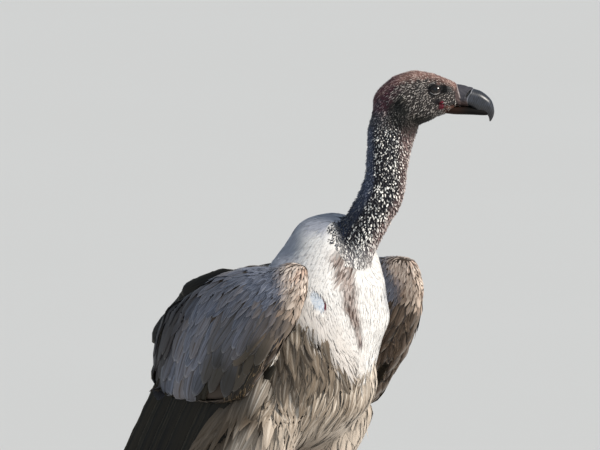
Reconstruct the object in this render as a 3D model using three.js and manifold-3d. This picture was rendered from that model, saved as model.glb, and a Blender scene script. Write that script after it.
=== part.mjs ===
// A standing white-backed vulture, life size, in millimetres.
// The bird faces -Y, its left side is +X, +Z is up, and its soles are at Z = 0.
// Every piece is one closed solid, and each gives way to those made before it, with a thin gap between.
import * as THREE from "three";
import { mergeVertices } from "three/addons/utils/BufferGeometryUtils.js";
import Module from "manifold-3d";

const wasm = await Module();
wasm.setup();

// ---- Driving dimensions ----
const GAP = 0.4; // between neighbouring pieces
const HEAD_TURN = 36; // degrees, the head turned to the bird's left
const HEAD_ORIGIN = [50.4, -190, 765]; // midway between the eyes
const EYE_RADIUS = 9;
const EYE_APART = 39; // between the eyes' centres
const NECK_CUT = 655; // height at which the neck is divided
const RUFF_TILT = 0.35; // how far the ruff's lower edge falls towards the front
const RUFF_EDGE = 556; // height of the ruff's lower edge over the origin
const FURROW = { depth: 9, halfWidth: 17, middle: 495, halfHeight: 62 }; // down the middle of the crop
const FOOT_TURN = 5; // degrees, each foot turned outwards
const FOOT_X = 60; // each foot's distance from the middle plane
const FOOT_Y = 40; // the feet's place along the body, under its weight
const TAIL_FEATHERS = 12;
const TAIL_SLOPE = 58; // degrees below level
const SECONDARIES = 8;
const PRIMARIES = 6;
const SECONDARY_SLOPE = 60.5; // degrees below level, their way down and back
const LEFT_DROOP = -6.5; // degrees, the left wing swung forward about its wrist
const LEFT_DROP = -15; // and lowered
const WING_PIVOT = [0, -100, 520];
const WING_MIDDLE = { x: -130, y: -15 }; // of the wing's thickness, and of its curve round the body
const WING_CURVE = 0.0011; // how fast the wing comes in towards the body at both ends, per mm
const WING_FILL = 2.6; // how far the wing's back half thickens inwards, as a share of its thickness
const TAIL_ROOT = { y: 142, z: 285 };

const UP = new THREE.Vector3(0, 0, 1);
const radians = THREE.MathUtils.degToRad;
const lerp = THREE.MathUtils.lerp;

// ---- Materials ----
const finish = (color, roughness) => new THREE.MeshStandardMaterial({ color, roughness, metalness: 0 });
const FINISH = {
  headDown: finish(0x5a4a48, 0.85),
  neckDown: finish(0x6a6664, 0.9),
  ruffDown: finish(0xe8e2da, 0.95),
  bodyPlumage: finish(0xb5a48f, 0.9),
  covertPlumage: finish(0x7d7268, 0.85),
  flightPlumage: finish(0x2e2823, 0.7),
  horn: finish(0x26272b, 0.35),
  eye: finish(0x1c130e, 0.05),
  legSkin: finish(0x4a4a4c, 0.6),
};

// ---- Shaping ----

/** The share of full width at t along a body whose two ends are rounded over the given shares of it. */
function rounding(t, [near, far]) {
  const curve = (s, share) => (s < share ? Math.sqrt(1 - (1 - s / share) ** 2) : 1);
  return curve(t, near) * curve(1 - t, far);
}

/** Cosine or sine raised so that the ring grows squarer as power goes over 2. */
function squared(value, power) {
  return Math.sign(value) * Math.abs(value) ** (2 / power);
}

/**
 * A closed, round-ended body through rings. Each ring is [x, y, z, side, fore, aft]: its centre, its half
 * width, and its reach to the front (or underside) and to the back (or top). The rings lie across the line
 * of centres, or flat if level is true. yaw turns them about Z, in degrees, from the first to the last.
 */
function limb(rings, options, grow = 0) {
  const { around, along, caps, level = false, power = 2, yaw = [0, 0], bend } = options;
  const curve = (pick) => {
    const points = rings.map((ring) => new THREE.Vector3(...pick(ring)));
    return new THREE.CatmullRomCurve3(points, false, "catmullrom", 0.5);
  };
  const centres = curve((ring) => ring.slice(0, 3));
  const reaches = curve((ring) => ring.slice(3, 6));
  const geometry = new THREE.SphereGeometry(1, around, along);
  const position = geometry.getAttribute("position");
  const uv = geometry.getAttribute("uv");
  for (let i = 0; i < position.count; i++) {
    const angle = uv.getX(i) * 2 * Math.PI;
    const t = (1 - Math.cos(Math.PI * (1 - uv.getY(i)))) / 2;
    const reach = reaches.getPoint(t);
    const heading = level ? UP : centres.getTangent(t);
    const turn = radians(lerp(yaw[0], yaw[1], t));
    const side = new THREE.Vector3(Math.cos(turn), Math.sin(turn), 0);
    side.addScaledVector(heading, -side.dot(heading)).normalize();
    const fore = new THREE.Vector3().crossVectors(side, heading);
    const width = rounding(t, caps);
    const across = squared(Math.cos(angle), power) * (Math.abs(reach.x) + grow) * width;
    const depth = Math.abs(Math.sin(angle) > 0 ? reach.y : reach.z) + grow;
    const place = centres
      .getPoint(t)
      .addScaledVector(centres.getTangent(t), grow * (2 * t - 1))
      .addScaledVector(side, across)
      .addScaledVector(fore, squared(Math.sin(angle), power) * depth * width);
    if (bend) bend(place);
    position.setXYZ(i, place.x, place.y, place.z);
  }
  return solidFrom(geometry);
}

/** A manifold solid from a closed three.js geometry, turned to face outwards. */
function solidFrom(geometry) {
  const bare = geometry.clone();
  bare.deleteAttribute("normal");
  bare.deleteAttribute("uv");
  const merged = mergeVertices(bare, 1e-3);
  const triVerts = new Uint32Array(merged.index.array);
  const vertProperties = new Float32Array(merged.attributes.position.array);
  const solid = () => new wasm.Manifold(new wasm.Mesh({ numProp: 3, vertProperties, triVerts }));
  const made = solid();
  if (made.volume() > 0) return made;
  for (let i = 0; i < triVerts.length; i += 3) {
    [triVerts[i + 1], triVerts[i + 2]] = [triVerts[i + 2], triVerts[i + 1]];
  }
  return solid();
}

/** A three.js geometry from a manifold solid, kept to its largest body. */
function geometryFrom(solid) {
  const largest = solid.decompose().reduce((a, b) => (a.volume() > b.volume() ? a : b));
  const mesh = largest.getMesh();
  const places = new Float32Array(mesh.numVert * 3);
  for (let i = 0; i < mesh.numVert; i++) {
    places.set(mesh.vertProperties.subarray(i * mesh.numProp, i * mesh.numProp + 3), i * 3);
  }
  return new THREE.BufferGeometry()
    .setAttribute("position", new THREE.BufferAttribute(places, 3))
    .setIndex(new THREE.BufferAttribute(mesh.triVerts, 1));
}

/** One flat feather from its root to its tip: broad of the middle, and thin. */
function vane([root, tip], width, thickness, normal, grow = 0) {
  const from = new THREE.Vector3(...root);
  const line = new THREE.Vector3(...tip).sub(from);
  const flat = new THREE.Vector3(...normal);
  flat.addScaledVector(line, -flat.dot(line) / line.lengthSq()).normalize();
  const across = new THREE.Vector3().crossVectors(line, flat).normalize();
  const geometry = new THREE.SphereGeometry(1, 4, 4);
  const position = geometry.getAttribute("position");
  const uv = geometry.getAttribute("uv");
  for (let i = 0; i < position.count; i++) {
    const angle = uv.getX(i) * 2 * Math.PI;
    const t = (1 - Math.cos(Math.PI * (1 - uv.getY(i)))) / 2;
    const full = rounding(t, [0.25, 0.2]);
    const place = from
      .clone()
      .addScaledVector(line, t)
      .addScaledVector(line.clone().normalize(), grow * (2 * t - 1))
      .addScaledVector(across, Math.cos(angle) * full * (width / 2 + grow))
      .addScaledVector(flat, Math.sin(angle) * full * (thickness / 2 + grow));
    position.setXYZ(i, place.x, place.y, place.z);
  }
  return solidFrom(geometry);
}

/** The union of several solids. */
const joined = (solids) => solids.reduce((a, b) => a.add(b));

/** The part of a solid on the side that a plane [normal, distance] faces, less half a gap. */
function ahead(solid, [normal, distance], grow) {
  return solid.trimByPlane(normal.toArray(), distance + GAP / 2 - grow);
}

/** The part of a solid on the other side of a plane, less half a gap. */
function behind(solid, [normal, distance], grow) {
  return ahead(solid, [normal.clone().negate(), -distance], grow);
}

/** Both sides of a mirrored pair: side is -1 for the right and 1 for the left. */
const SIDES = { right: -1, left: 1 };

// ---- Head ----

/** Places a solid made about the eyes, looking along -Y, on the turned head. */
function onHead(solid) {
  return solid.rotate([0, 0, HEAD_TURN]).translate(HEAD_ORIGIN);
}

/** A head ring from its distance ahead of the eyes, height, half width, and reach down and up. */
const headRing = ([ahead, height, side, down, up]) => [0, -ahead, height, side, down, up];

function skull(grow) {
  const rings = [
    [-76, -34, 12, 14, 14],
    [-62, -23, 24, 25, 25],
    [-44, -14, 29, 35, 33],
    [-24, -10, 30, 36, 35.5],
    [-2, -9, 27, 30.5, 30],
    [16, -9.5, 21, 24.5, 22.5],
    [30, -11, 15, 21, 17],
    [38, -12, 9, 16, 10],
  ];
  return onHead(limb(rings.map(headRing), { around: 14, along: 11, caps: [0.1, 0.06] }, grow));
}

/** The whole upper bill with the cere on it, down to the hook. */
function upperBillAndCere(grow) {
  const rings = [
    [22, -8, 15, 14, 15],
    [36, -8, 14, 14.5, 12],
    [49, -10, 12.8, 15, 10.5],
    [61, -14.5, 11, 13, 10],
    [69.5, -22, 8, 9, 8.5],
    [73.5, -31, 4.8, 5, 5],
    [72.8, -41.5, 1.2, 1.2, 1.2],
  ];
  return onHead(limb(rings.map(headRing), { around: 12, along: 11, caps: [0.03, 0.04] }, grow));
}

/** The slit of one nostril, upright in the cere's front edge. */
function nostrilSlit(side) {
  const slit = [
    [14 * side, -40, -12, 2.2, 1.1, 1.1],
    [14 * side, -42, -1.5, 2.2, 1.1, 1.1],
  ];
  return onHead(limb(slit, { around: 6, along: 4, caps: [0.4, 0.4] }));
}

/** The plane across the bill at the cere's front edge: its normal, facing ahead, and its distance. */
function cerePlane() {
  const turned = (x, y, z) => new THREE.Vector3(x, y, z).applyAxisAngle(UP, radians(HEAD_TURN));
  const normal = turned(0, -1, -0.25).normalize();
  return [normal, turned(0, -43.5, -8).add(new THREE.Vector3(...HEAD_ORIGIN)).dot(normal)];
}

const billUpper = (grow) => ahead(upperBillAndCere(grow), cerePlane(), grow);

function cere(grow) {
  const whole = behind(upperBillAndCere(grow), cerePlane(), grow);
  if (grow > 0) return whole;
  return whole.subtract(nostrilSlit(-1)).subtract(nostrilSlit(1));
}

function billLower(grow) {
  const rings = [
    [14, -27, 12, 6, 6],
    [30, -27.5, 11.5, 5.5, 6],
    [46, -29, 10.2, 4.2, 6],
    [58, -29.5, 7.6, 3.2, 5],
    [65, -29, 3.2, 2, 3],
  ];
  return onHead(limb(rings.map(headRing), { around: 10, along: 7, caps: [0.1, 0.1] }, grow));
}

function eye(side, grow) {
  const ball = solidFrom(new THREE.SphereGeometry(EYE_RADIUS + grow, 10, 8));
  return onHead(ball.translate([(side * EYE_APART) / 2, 0, 0]));
}

// ---- Neck ----

function wholeNeck(grow) {
  const rings = [
    [0, -88, 528, 26, 24, 27],
    [0, -103, 567, 27, 28, 27],
    [2, -119, 600, 26, 31, 25],
    [6, -136, 634, 26, 30, 25],
    [10, -142, 667, 26.5, 28, 26],
    [14, -143, 699, 27, 27.5, 27],
    [20, -148, 729, 28, 30, 28],
    [25, -155, 750, 24, 24, 22],
  ];
  return limb(rings, { around: 14, along: 12, caps: [0.05, 0.1], yaw: [0, HEAD_TURN] }, grow);
}

const neckUpper = (grow) => ahead(wholeNeck(grow), [UP, NECK_CUT], grow);
const neckLower = (grow) => behind(wholeNeck(grow), [UP, NECK_CUT], grow);

// ---- Trunk ----

/** Sinks the furrow down the middle of the crop, between its two white pads. */
function furrow(place) {
  const { depth, halfWidth, middle, halfHeight } = FURROW;
  const share = Math.exp(-(((place.z - middle) / halfHeight) ** 2) - (place.x / halfWidth) ** 2);
  if (place.y < -40) place.y += depth * share;
}

function wholeTrunk(grow) {
  const rings = [
    [0, -62, 601, 20, 20, 20],
    [0, -61, 584, 42, 40, 40],
    [0, -52, 555, 65, 60, 50],
    [0, -37, 520, 90, 83, 66],
    [0, -20, 480, 104, 100, 86],
    [0, -3, 440, 107, 111, 92],
    [0, 13, 400, 104, 119, 98],
    [0, 28, 362, 100, 128, 104],
    [0, 44, 325, 92, 130, 108],
    [0, 63, 290, 68, 96, 103],
    [0, 84, 258, 38, 54, 78],
    [0, 98, 240, 16, 22, 40],
  ];
  const shape = { around: 22, along: 16, caps: [0.05, 0.06], level: true, power: 2.3, bend: furrow };
  return limb(rings, shape, grow);
}

/** The slanted plane under the ruff: its normal, facing up, and its distance. */
function ruffPlane() {
  const normal = new THREE.Vector3(0, -RUFF_TILT, 1).normalize();
  return [normal, RUFF_EDGE * normal.z];
}

const ruff = (grow) => ahead(wholeTrunk(grow), ruffPlane(), grow);
const trunk = (grow) => behind(wholeTrunk(grow), ruffPlane(), grow);

/** The scapulars and back feathers that lie between and over the folded wings. */
function mantle(grow) {
  const rings = [
    [0, -20, 550, 52, 20, 16],
    [0, 8, 527, 84, 30, 28],
    [0, 36, 505, 100, 40, 44],
    [0, 62, 470, 104, 50, 54],
    [0, 86, 424, 98, 60, 62],
    [0, 106, 378, 84, 60, 56],
    [0, 128, 335, 64, 50, 44],
    [0, 150, 302, 34, 20, 22],
  ];
  return limb(rings, { around: 13, along: 10, caps: [0.08, 0.1], level: true, power: 2.2 }, grow);
}

// ---- Tail ----

/** The tapering feathers over and under the root of the tail. */
function tailCoverts(grow) {
  const rings = [
    [0, 120, 312, 50, 40, 34],
    [0, 152, 262, 44, 30, 26],
    [0, 182, 212, 38, 18, 15],
    [0, 204, 172, 28, 8, 8],
  ];
  return limb(rings, { around: 12, along: 6, caps: [0.1, 0.25] }, grow);
}

/** The fan of tail feathers, the middle ones on top. */
function tail(grow) {
  const slope = radians(TAIL_SLOPE);
  const outward = [0, Math.sin(slope), Math.cos(slope)];
  const middle = (TAIL_FEATHERS - 1) / 2;
  const vanes = Array.from({ length: TAIL_FEATHERS }, (_, i) => {
    const place = (i - middle) / middle;
    const fan = place * radians(15);
    const length = 262 - 16 * place * place;
    const down = length * Math.cos(fan);
    const lift = 7 * (1 - Math.abs(place));
    const { y, z } = TAIL_ROOT;
    const root = [place * 16, y + lift * outward[1] * 0.4, z + lift * outward[2] * 0.4];
    const back = y + down * Math.cos(slope) + lift * outward[1];
    const tip = [length * Math.sin(fan), back, z - down * Math.sin(slope) + lift * outward[2]];
    return vane([root, tip], 38, 4.5, outward, grow);
  });
  return joined(vanes);
}

// ---- Wings ----

/** Curves a wing round the body, and fills the space between its back half and the body. */
function wrap(place) {
  const inner = Math.max(0, place.x - WING_MIDDLE.x);
  place.x += WING_FILL * inner * THREE.MathUtils.smoothstep(place.y, -70, 50);
  place.x += WING_CURVE * (place.y - WING_MIDDLE.y) ** 2 - 4;
}

/** Takes a solid made as the right wing to its own side, with the left one's droop. */
function onSide(solid, side) {
  if (side < 0) return solid;
  const pivot = new THREE.Vector3(...WING_PIVOT);
  return solid
    .mirror([1, 0, 0])
    .translate(pivot.clone().negate().toArray())
    .rotate([LEFT_DROOP, 0, 0])
    .translate(pivot.add(new THREE.Vector3(0, 0, LEFT_DROP)).toArray());
}

/** The folded forearm and hand with all their coverts, from the wrist to the tips of the greater coverts. */
function wingCoverts(side, grow) {
  const rings = [
    [-118, -78, 553, 12, 30, 46],
    [-126, -58, 541, 20, 56, 70],
    [-131, -32, 516, 24, 86, 94],
    [-134, -13, 490, 25, 102, 112],
    [-134, 12, 454, 24, 104, 116],
    [-132, 32, 425, 21, 101, 111],
    [-131, 46, 400, 17, 95, 102],
    [-131, 57, 376, 12, 85, 88],
    [-130, 64, 356, 6, 68, 74],
  ];
  const shape = { around: 15, along: 11, caps: [0.1, 0.06], level: true, power: 2.4, bend: wrap };
  return onSide(limb(rings, shape, grow), side);
}

function secondaries(side, grow) {
  const vanes = Array.from({ length: SECONDARIES }, (_, i) => {
    const share = i / (SECONDARIES - 1);
    const slope = radians(SECONDARY_SLOPE);
    const length = lerp(222, 262, share);
    const root = [lerp(-122, -110, share), lerp(-20, 98, share), 430];
    const reach = [length * Math.cos(slope), length * Math.sin(slope)];
    const tip = [lerp(-112, -80, share), root[1] + reach[0], root[2] - reach[1]];
    return vane([root, tip], 44, 6, [-1, -0.25, 0.1], grow);
  });
  return onSide(joined(vanes), side);
}

function primaries(side, grow) {
  const vanes = Array.from({ length: PRIMARIES }, (_, i) => {
    const share = i / (PRIMARIES - 1);
    const root = [-116, lerp(-55, -20, share), lerp(412, 372, share)];
    const tip = [lerp(-52, -84, share), lerp(284, 178, share), lerp(84, 182, share)];
    return vane([root, tip], lerp(34, 42, share), 6, [-1, -0.2, 0], grow);
  });
  return onSide(joined(vanes), side);
}

// ---- Legs ----

/** The feathered thigh and shin, from the hip down to the heel. */
function thigh(side, grow) {
  const rings = [
    [58, 32, 384, 42, 60, 56],
    [76, 5, 330, 52, 72, 66],
    [71, 15, 276, 44, 56, 58],
    [67, 22, 226, 36, 43, 47],
    [63, 38, 176, 26, 28, 32],
    [60, 58, 136, 15, 16, 17],
    [60, 66, 120, 9, 9, 9],
  ].map(([x, ...rest]) => [side * x, ...rest]);
  return limb(rings, { around: 13, along: 8, caps: [0.1, 0.05], level: true }, grow);
}

/** The bare shank from the heel down to the toes. */
function tarsus(side, grow) {
  const rings = [
    [60, 70, 130, 8, 7, 7],
    [60, 70, 117, 9.5, 9.5, 9.5],
    [60, 62, 92, 7.2, 7.6, 7.6],
    [60, 51, 58, 7, 7.4, 7.4],
    [60, 43, 30, 8, 8.4, 8.4],
    [60, 39.5, 16, 9, 9, 9],
  ].map(([x, ...rest]) => [side * x, ...rest]);
  return limb(rings, { around: 10, along: 8, caps: [0.08, 0.08] }, grow);
}

/** Each toe: its name, its angle from straight ahead towards the outside, its length and its radius. */
const TOES = [
  { name: "inner", angle: -34, length: 58, radius: 8 },
  { name: "middle", angle: 0, length: 88, radius: 8.4 },
  { name: "outer", angle: 30, length: 66, radius: 7.4 },
  { name: "hind", angle: 172, length: 42, radius: 7.8 },
];
const TOE_HEIGHT = 5.6;
const BALL_RADIUS = 10; // of the foot, where the toes begin
const CLAW_LENGTH = 25;

/** A point at a distance from the foot's middle along a toe's direction, and at a height. */
function alongToe(side, toe, distance, height) {
  const angle = radians((toe.angle + FOOT_TURN) * side);
  return [side * FOOT_X + Math.sin(angle) * distance, FOOT_Y - Math.cos(angle) * distance, height];
}

/** The four toes joined at the ball of the foot, flat underneath. */
function foot(side, grow) {
  const toes = TOES.map((toe) => {
    const rings = [
      [0, TOE_HEIGHT + 2, 1.08],
      [0.34, TOE_HEIGHT, 0.86],
      [0.6, TOE_HEIGHT + 0.4, 0.94],
      [0.82, TOE_HEIGHT - 0.4, 0.78],
      [1, TOE_HEIGHT + 0.4, 0.72],
    ].map(([share, height, size]) => {
      const reach = toe.radius * size;
      const distance = lerp(-BALL_RADIUS, toe.length, share);
      return [...alongToe(side, toe, distance, height), reach, reach, reach];
    });
    return limb(rings, { around: 8, along: 5, caps: [0.08, 0.1] }, grow);
  });
  return joined(toes).trimByPlane(UP.toArray(), -grow);
}

/** A curved, pointed claw growing from the end of a toe. */
function claw(side, toe, grow) {
  const rings = [
    [-4, TOE_HEIGHT + 1.5, 4.2],
    [5, TOE_HEIGHT + 4.5, 4.2],
    [14, TOE_HEIGHT + 3, 3],
    [CLAW_LENGTH - 4, TOE_HEIGHT - 2, 1.2],
    [CLAW_LENGTH - 2, TOE_HEIGHT - 4, 0.45],
  ].map(([beyond, height, reach]) => {
    return [...alongToe(side, toe, toe.length + beyond, height), reach, reach, reach];
  });
  return limb(rings, { around: 6, along: 6, caps: [0.1, 0.05] }, grow);
}

// ---- Assembly ----

/** Every piece in the order in which it takes its place. */
const PIECES = [
  ["bill_upper", billUpper, FINISH.horn],
  ["cere", cere, FINISH.horn],
  ["bill_lower", billLower, FINISH.horn],
  ...Object.entries(SIDES).map(([name, side]) => ["eye_" + name, (grow) => eye(side, grow), FINISH.eye]),
  ["head", skull, FINISH.headDown],
  ["neck_upper", neckUpper, FINISH.neckDown],
  ["neck_lower", neckLower, FINISH.neckDown],
  ["ruff", ruff, FINISH.ruffDown],
  ["trunk", trunk, FINISH.bodyPlumage],
];
for (const [name, side] of Object.entries(SIDES)) {
  PIECES.push(["thigh_" + name, (grow) => thigh(side, grow), FINISH.bodyPlumage]);
  PIECES.push(["wing_coverts_" + name, (grow) => wingCoverts(side, grow), FINISH.covertPlumage]);
}
PIECES.push(["mantle", mantle, FINISH.covertPlumage]);
PIECES.push(["tail_coverts", tailCoverts, FINISH.bodyPlumage]);
PIECES.push(["tail", tail, FINISH.flightPlumage]);
for (const [name, side] of Object.entries(SIDES)) {
  PIECES.push(["secondaries_" + name, (grow) => secondaries(side, grow), FINISH.flightPlumage]);
  PIECES.push(["primaries_" + name, (grow) => primaries(side, grow), FINISH.flightPlumage]);
  for (const toe of TOES) {
    PIECES.push([`claw_${toe.name}_${name}`, (grow) => claw(side, toe, grow), FINISH.horn]);
  }
  PIECES.push(["foot_" + name, (grow) => foot(side, grow), FINISH.legSkin]);
  PIECES.push(["tarsus_" + name, (grow) => tarsus(side, grow), FINISH.legSkin]);
}

/** True if two solids' boxes meet. */
function boxesMeet(a, b) {
  const [p, q] = [a.boundingBox(), b.boundingBox()];
  return [0, 1, 2].every((k) => p.min[k] <= q.max[k] && q.min[k] <= p.max[k]);
}

/** Builds every piece, cutting each by the grown shapes of those before it. */
function assemble() {
  const group = new THREE.Group();
  const before = [];
  for (const [name, make, material] of PIECES) {
    let solid = make(0);
    for (const other of before) {
      if (boxesMeet(solid, other)) solid = solid.subtract(other);
    }
    before.push(make(GAP));
    const mesh = new THREE.Mesh(geometryFrom(solid), material);
    mesh.name = name;
    group.add(mesh);
  }
  const middle = new THREE.Box3().setFromObject(group).getCenter(new THREE.Vector3());
  group.position.set(-middle.x, -middle.y, 0);
  return group;
}

export default assemble();
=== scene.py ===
"""A white-backed vulture, standing: the looks of a still, life-size museum model.

Points are worked out in millimetres in the bird's own frame: +Z up, the body faces -Y, its left is +X
and the soles are at Z = 0. The skin is one smooth surface a coat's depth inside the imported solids.
Feathers, down and bristles are thin closed vanes that are rooted in the skin and combed along it.
"""

import logging
import math
from dataclasses import dataclass, field, replace
from enum import Enum
from typing import Callable, Sequence

import bmesh
import bpy
import numpy as np
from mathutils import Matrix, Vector
from mathutils.bvhtree import BVHTree
from mathutils.kdtree import KDTree


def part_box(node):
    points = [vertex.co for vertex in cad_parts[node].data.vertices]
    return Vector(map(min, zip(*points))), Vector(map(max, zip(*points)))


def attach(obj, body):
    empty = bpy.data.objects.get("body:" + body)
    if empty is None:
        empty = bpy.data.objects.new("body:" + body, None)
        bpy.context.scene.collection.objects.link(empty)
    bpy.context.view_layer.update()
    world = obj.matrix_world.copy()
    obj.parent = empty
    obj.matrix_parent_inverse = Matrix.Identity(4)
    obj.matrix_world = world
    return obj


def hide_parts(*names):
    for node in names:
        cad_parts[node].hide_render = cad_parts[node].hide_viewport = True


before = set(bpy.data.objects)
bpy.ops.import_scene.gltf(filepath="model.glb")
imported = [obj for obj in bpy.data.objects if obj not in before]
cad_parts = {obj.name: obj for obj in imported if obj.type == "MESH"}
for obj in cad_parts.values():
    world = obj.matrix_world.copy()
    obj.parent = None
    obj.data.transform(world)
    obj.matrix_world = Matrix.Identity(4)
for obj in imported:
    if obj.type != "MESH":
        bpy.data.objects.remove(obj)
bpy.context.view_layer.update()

LOG = logging.getLogger("vulture")

Array = np.ndarray
Field = Callable[[Array], Array]  # a value for each of some points
Setting = float | Field
Colour = tuple[float, float, float, float]

MM = 0.001
SIDES = ("right", "left")

HEAD_MIDDLE = np.array([50.4, -190.0, 765.0])  # half-way between the eyes
HEAD_TURN = math.radians(36)
FORWARD = np.array([math.sin(HEAD_TURN), -math.cos(HEAD_TURN), 0.0])
LEFTWARD = np.array([math.cos(HEAD_TURN), math.sin(HEAD_TURN), 0.0])
UPWARD = np.array([0.0, 0.0, 1.0])
EYE_RADIUS = 9.0
EYE_SIDE = 19.5

VANE_MAP = "Vane"
BAKE_MAP = "OFBake"
BAKE_PATCH = 0.003

BARE_MIDDLE = np.array([-74.0, -93.0, 494.0])  # of the bare spot beside the crop
BARE_LONG = np.array([0.305, -0.385, -0.87])
BARE_WIDE = np.array([0.54, -0.68, 0.49])
BARE_REACH = (15.0, 8.0)

WRIST_BACK, WRIST_UP = -112.0, 548.0  # the right wing's wrist, seen from its side
WING_SLOPE = math.radians(55)
WING_COSINE, WING_SINE = math.cos(WING_SLOPE), math.sin(WING_SLOPE)


# ---------------------------------------------------------------- small maths


def unit(vectors: Array) -> Array:
    """Scales vectors to length one."""
    return vectors / np.maximum(np.linalg.norm(vectors, axis=-1, keepdims=True), 1e-9)


def ease(value: Array | float, low: float, high: float) -> Array:
    """A smooth step from 0 at low to 1 at high."""
    share = np.clip((np.asarray(value, float) - low) / (high - low), 0.0, 1.0)
    return share * share * (3 - 2 * share)


def lerp(start: Array | float, end: Array | float, share: Array | float) -> Array:
    """The value that lies share of the way from start to end."""
    return start + (np.asarray(end) - start) * share


def dot(a: Array, b: Array) -> Array:
    """The dot product along the last axis."""
    return (a * b).sum(-1)


def along_surface(direction: Array, normal: Array) -> Array:
    """The part of direction that lies in the surface with that normal, at length one."""
    return unit(direction - normal * dot(direction, normal)[..., None])


def ripple(points: Array, wavelength: float, seed: int, waves: int = 5) -> Array:
    """Smooth random values of about -1 to 1 over space.

    Args:
        points: where, in millimetres.
        wavelength: the rough distance from crest to crest.
        seed: which pattern.
        waves: how many waves are added up.

    Returns:
        One value for each point.
    """
    rng = np.random.default_rng(seed)
    total = np.zeros(points.shape[:-1])
    for _ in range(waves):
        direction = unit(rng.normal(size=3)) * (2 * math.pi / (wavelength * rng.uniform(0.7, 1.5)))
        total += np.sin(points @ direction + rng.uniform(0, 2 * math.pi))
    return total / math.sqrt(waves)


def catmull(knots: Array, count: int) -> Array:
    """A smooth curve through knots.

    Args:
        knots: rows of values to pass through.
        count: how many rows to return.

    Returns:
        The rows, evenly spaced in the knots' own numbering.
    """
    knots = np.asarray(knots, float)
    ends = np.vstack([2 * knots[:1] - knots[1:2], knots, 2 * knots[-1:] - knots[-2:-1]])
    place = np.linspace(0, len(knots) - 1, count)
    index = np.minimum(place.astype(int), len(knots) - 2)
    t = (place - index)[:, None]
    a, b, c, d = (ends[index + k] for k in range(4))
    return 0.5 * (2 * b + (c - a) * t + (2 * a - 5 * b + 4 * c - d) * t**2 + (3 * b - a - 3 * c + d) * t**3)


def tri_crosses(points: Array, tris: Array) -> Array:
    """The cross product of two sides of each triangle: along its normal, and twice its area long."""
    corners = points[tris]
    return np.cross(corners[:, 1] - corners[:, 0], corners[:, 2] - corners[:, 0])


def setting(value: Setting, points: Array) -> Array | float:
    """A number as it is, or a field's values at points."""
    return value(points) if callable(value) else value


def height_of(points: Array) -> Array:
    """How high points lie above the soles, in millimetres."""
    return points[:, 2]


def graded(start: float, end: float, low: float, high: float, measure: Field = height_of) -> Field:
    """A size that goes smoothly from start to end as a measure of the place goes from low to high."""
    return lambda points: lerp(start, end, ease(measure(points), low, high))


def tabled(places: Sequence[float], sizes: Sequence[float], measure: Field = height_of) -> Field:
    """A size that is read from a table by a measure of the place."""
    return lambda points: np.interp(measure(points), places, sizes)


def scaled(size: Setting, share: Setting) -> Field:
    """A size times a share of it."""
    return lambda points: setting(size, points) * setting(share, points)


def frame_shift() -> Array:
    """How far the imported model's frame lies from the bird's own frame, in millimetres."""
    corners = [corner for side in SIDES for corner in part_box("eye_" + side)]
    return np.mean([tuple(corner) for corner in corners], axis=0) / MM - HEAD_MIDDLE


SHIFT = frame_shift()


def to_scene(points: Array) -> Array:
    """Turns millimetres in the bird's frame into metres in the model's frame."""
    return (points + SHIFT) * MM


def on_head(ahead: Array, side: Array, height: Array) -> Array:
    """Points given by how far they lie ahead of, left of and above the middle between the eyes.

    Args:
        ahead: how far ahead of the eyes they lie.
        side: how far to the left.
        height: how far above.

    Returns:
        The points.
    """
    ahead, side, height = np.broadcast_arrays(ahead, side, height)
    return (HEAD_MIDDLE + ahead[..., None] * FORWARD + side[..., None] * LEFTWARD
            + height[..., None] * UPWARD)


def head_place(points: Array) -> tuple[Array, Array, Array]:
    """How far points lie ahead of, left of and above the middle between the eyes."""
    local = points - HEAD_MIDDLE
    return local @ FORWARD, local @ LEFTWARD, local @ UPWARD


# ---------------------------------------------------------------- shells and pieces


@dataclass
class Shell:
    """A closed mesh as arrays, in millimetres in the bird's frame."""

    points: Array
    quads: Array
    tris: Array
    maps: dict[str, Array] = field(default_factory=dict)
    fields: dict[str, Array] = field(default_factory=dict)
    crisp: Array | None = None
    normals: Array | None = None


def joined(shells: Sequence[Shell]) -> Shell:
    """Puts shells into one. They must carry the same maps and fields.

    Args:
        shells: the shells to join.

    Returns:
        One shell that holds them all.
    """
    starts = np.cumsum([0] + [len(shell.points) for shell in shells])[:-1]
    crisp = None
    if shells[0].crisp is not None:
        crisp = np.concatenate([shell.crisp[: len(shell.quads)] for shell in shells]
                               + [shell.crisp[len(shell.quads):] for shell in shells])
    normals = None if shells[0].normals is None else np.concatenate([shell.normals for shell in shells])
    return Shell(
        np.concatenate([shell.points for shell in shells]),
        np.concatenate([shell.quads + start for shell, start in zip(shells, starts)]),
        np.concatenate([shell.tris + start for shell, start in zip(shells, starts)]),
        {name: np.concatenate([shell.maps[name] for shell in shells]) for name in shells[0].maps},
        {name: np.concatenate([shell.fields[name] for shell in shells]) for name in shells[0].fields},
        crisp,
        normals,
    )


def ring_quads(count: int, around: int, closed: bool = False) -> Array:
    """The quads of a tube of rings; if it is closed, the last ring meets the first.

    Args:
        count: how many rings.
        around: how many points a ring has.
        closed: whether the last ring meets the first.

    Returns:
        The quads.
    """
    ring, spoke = np.meshgrid(np.arange(count if closed else count - 1), np.arange(around), indexing="ij")
    onward, after = (ring + 1) % count, (spoke + 1) % around
    return np.stack([ring * around + spoke, ring * around + after,
                     onward * around + after, onward * around + spoke], -1).reshape(-1, 4)


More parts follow.
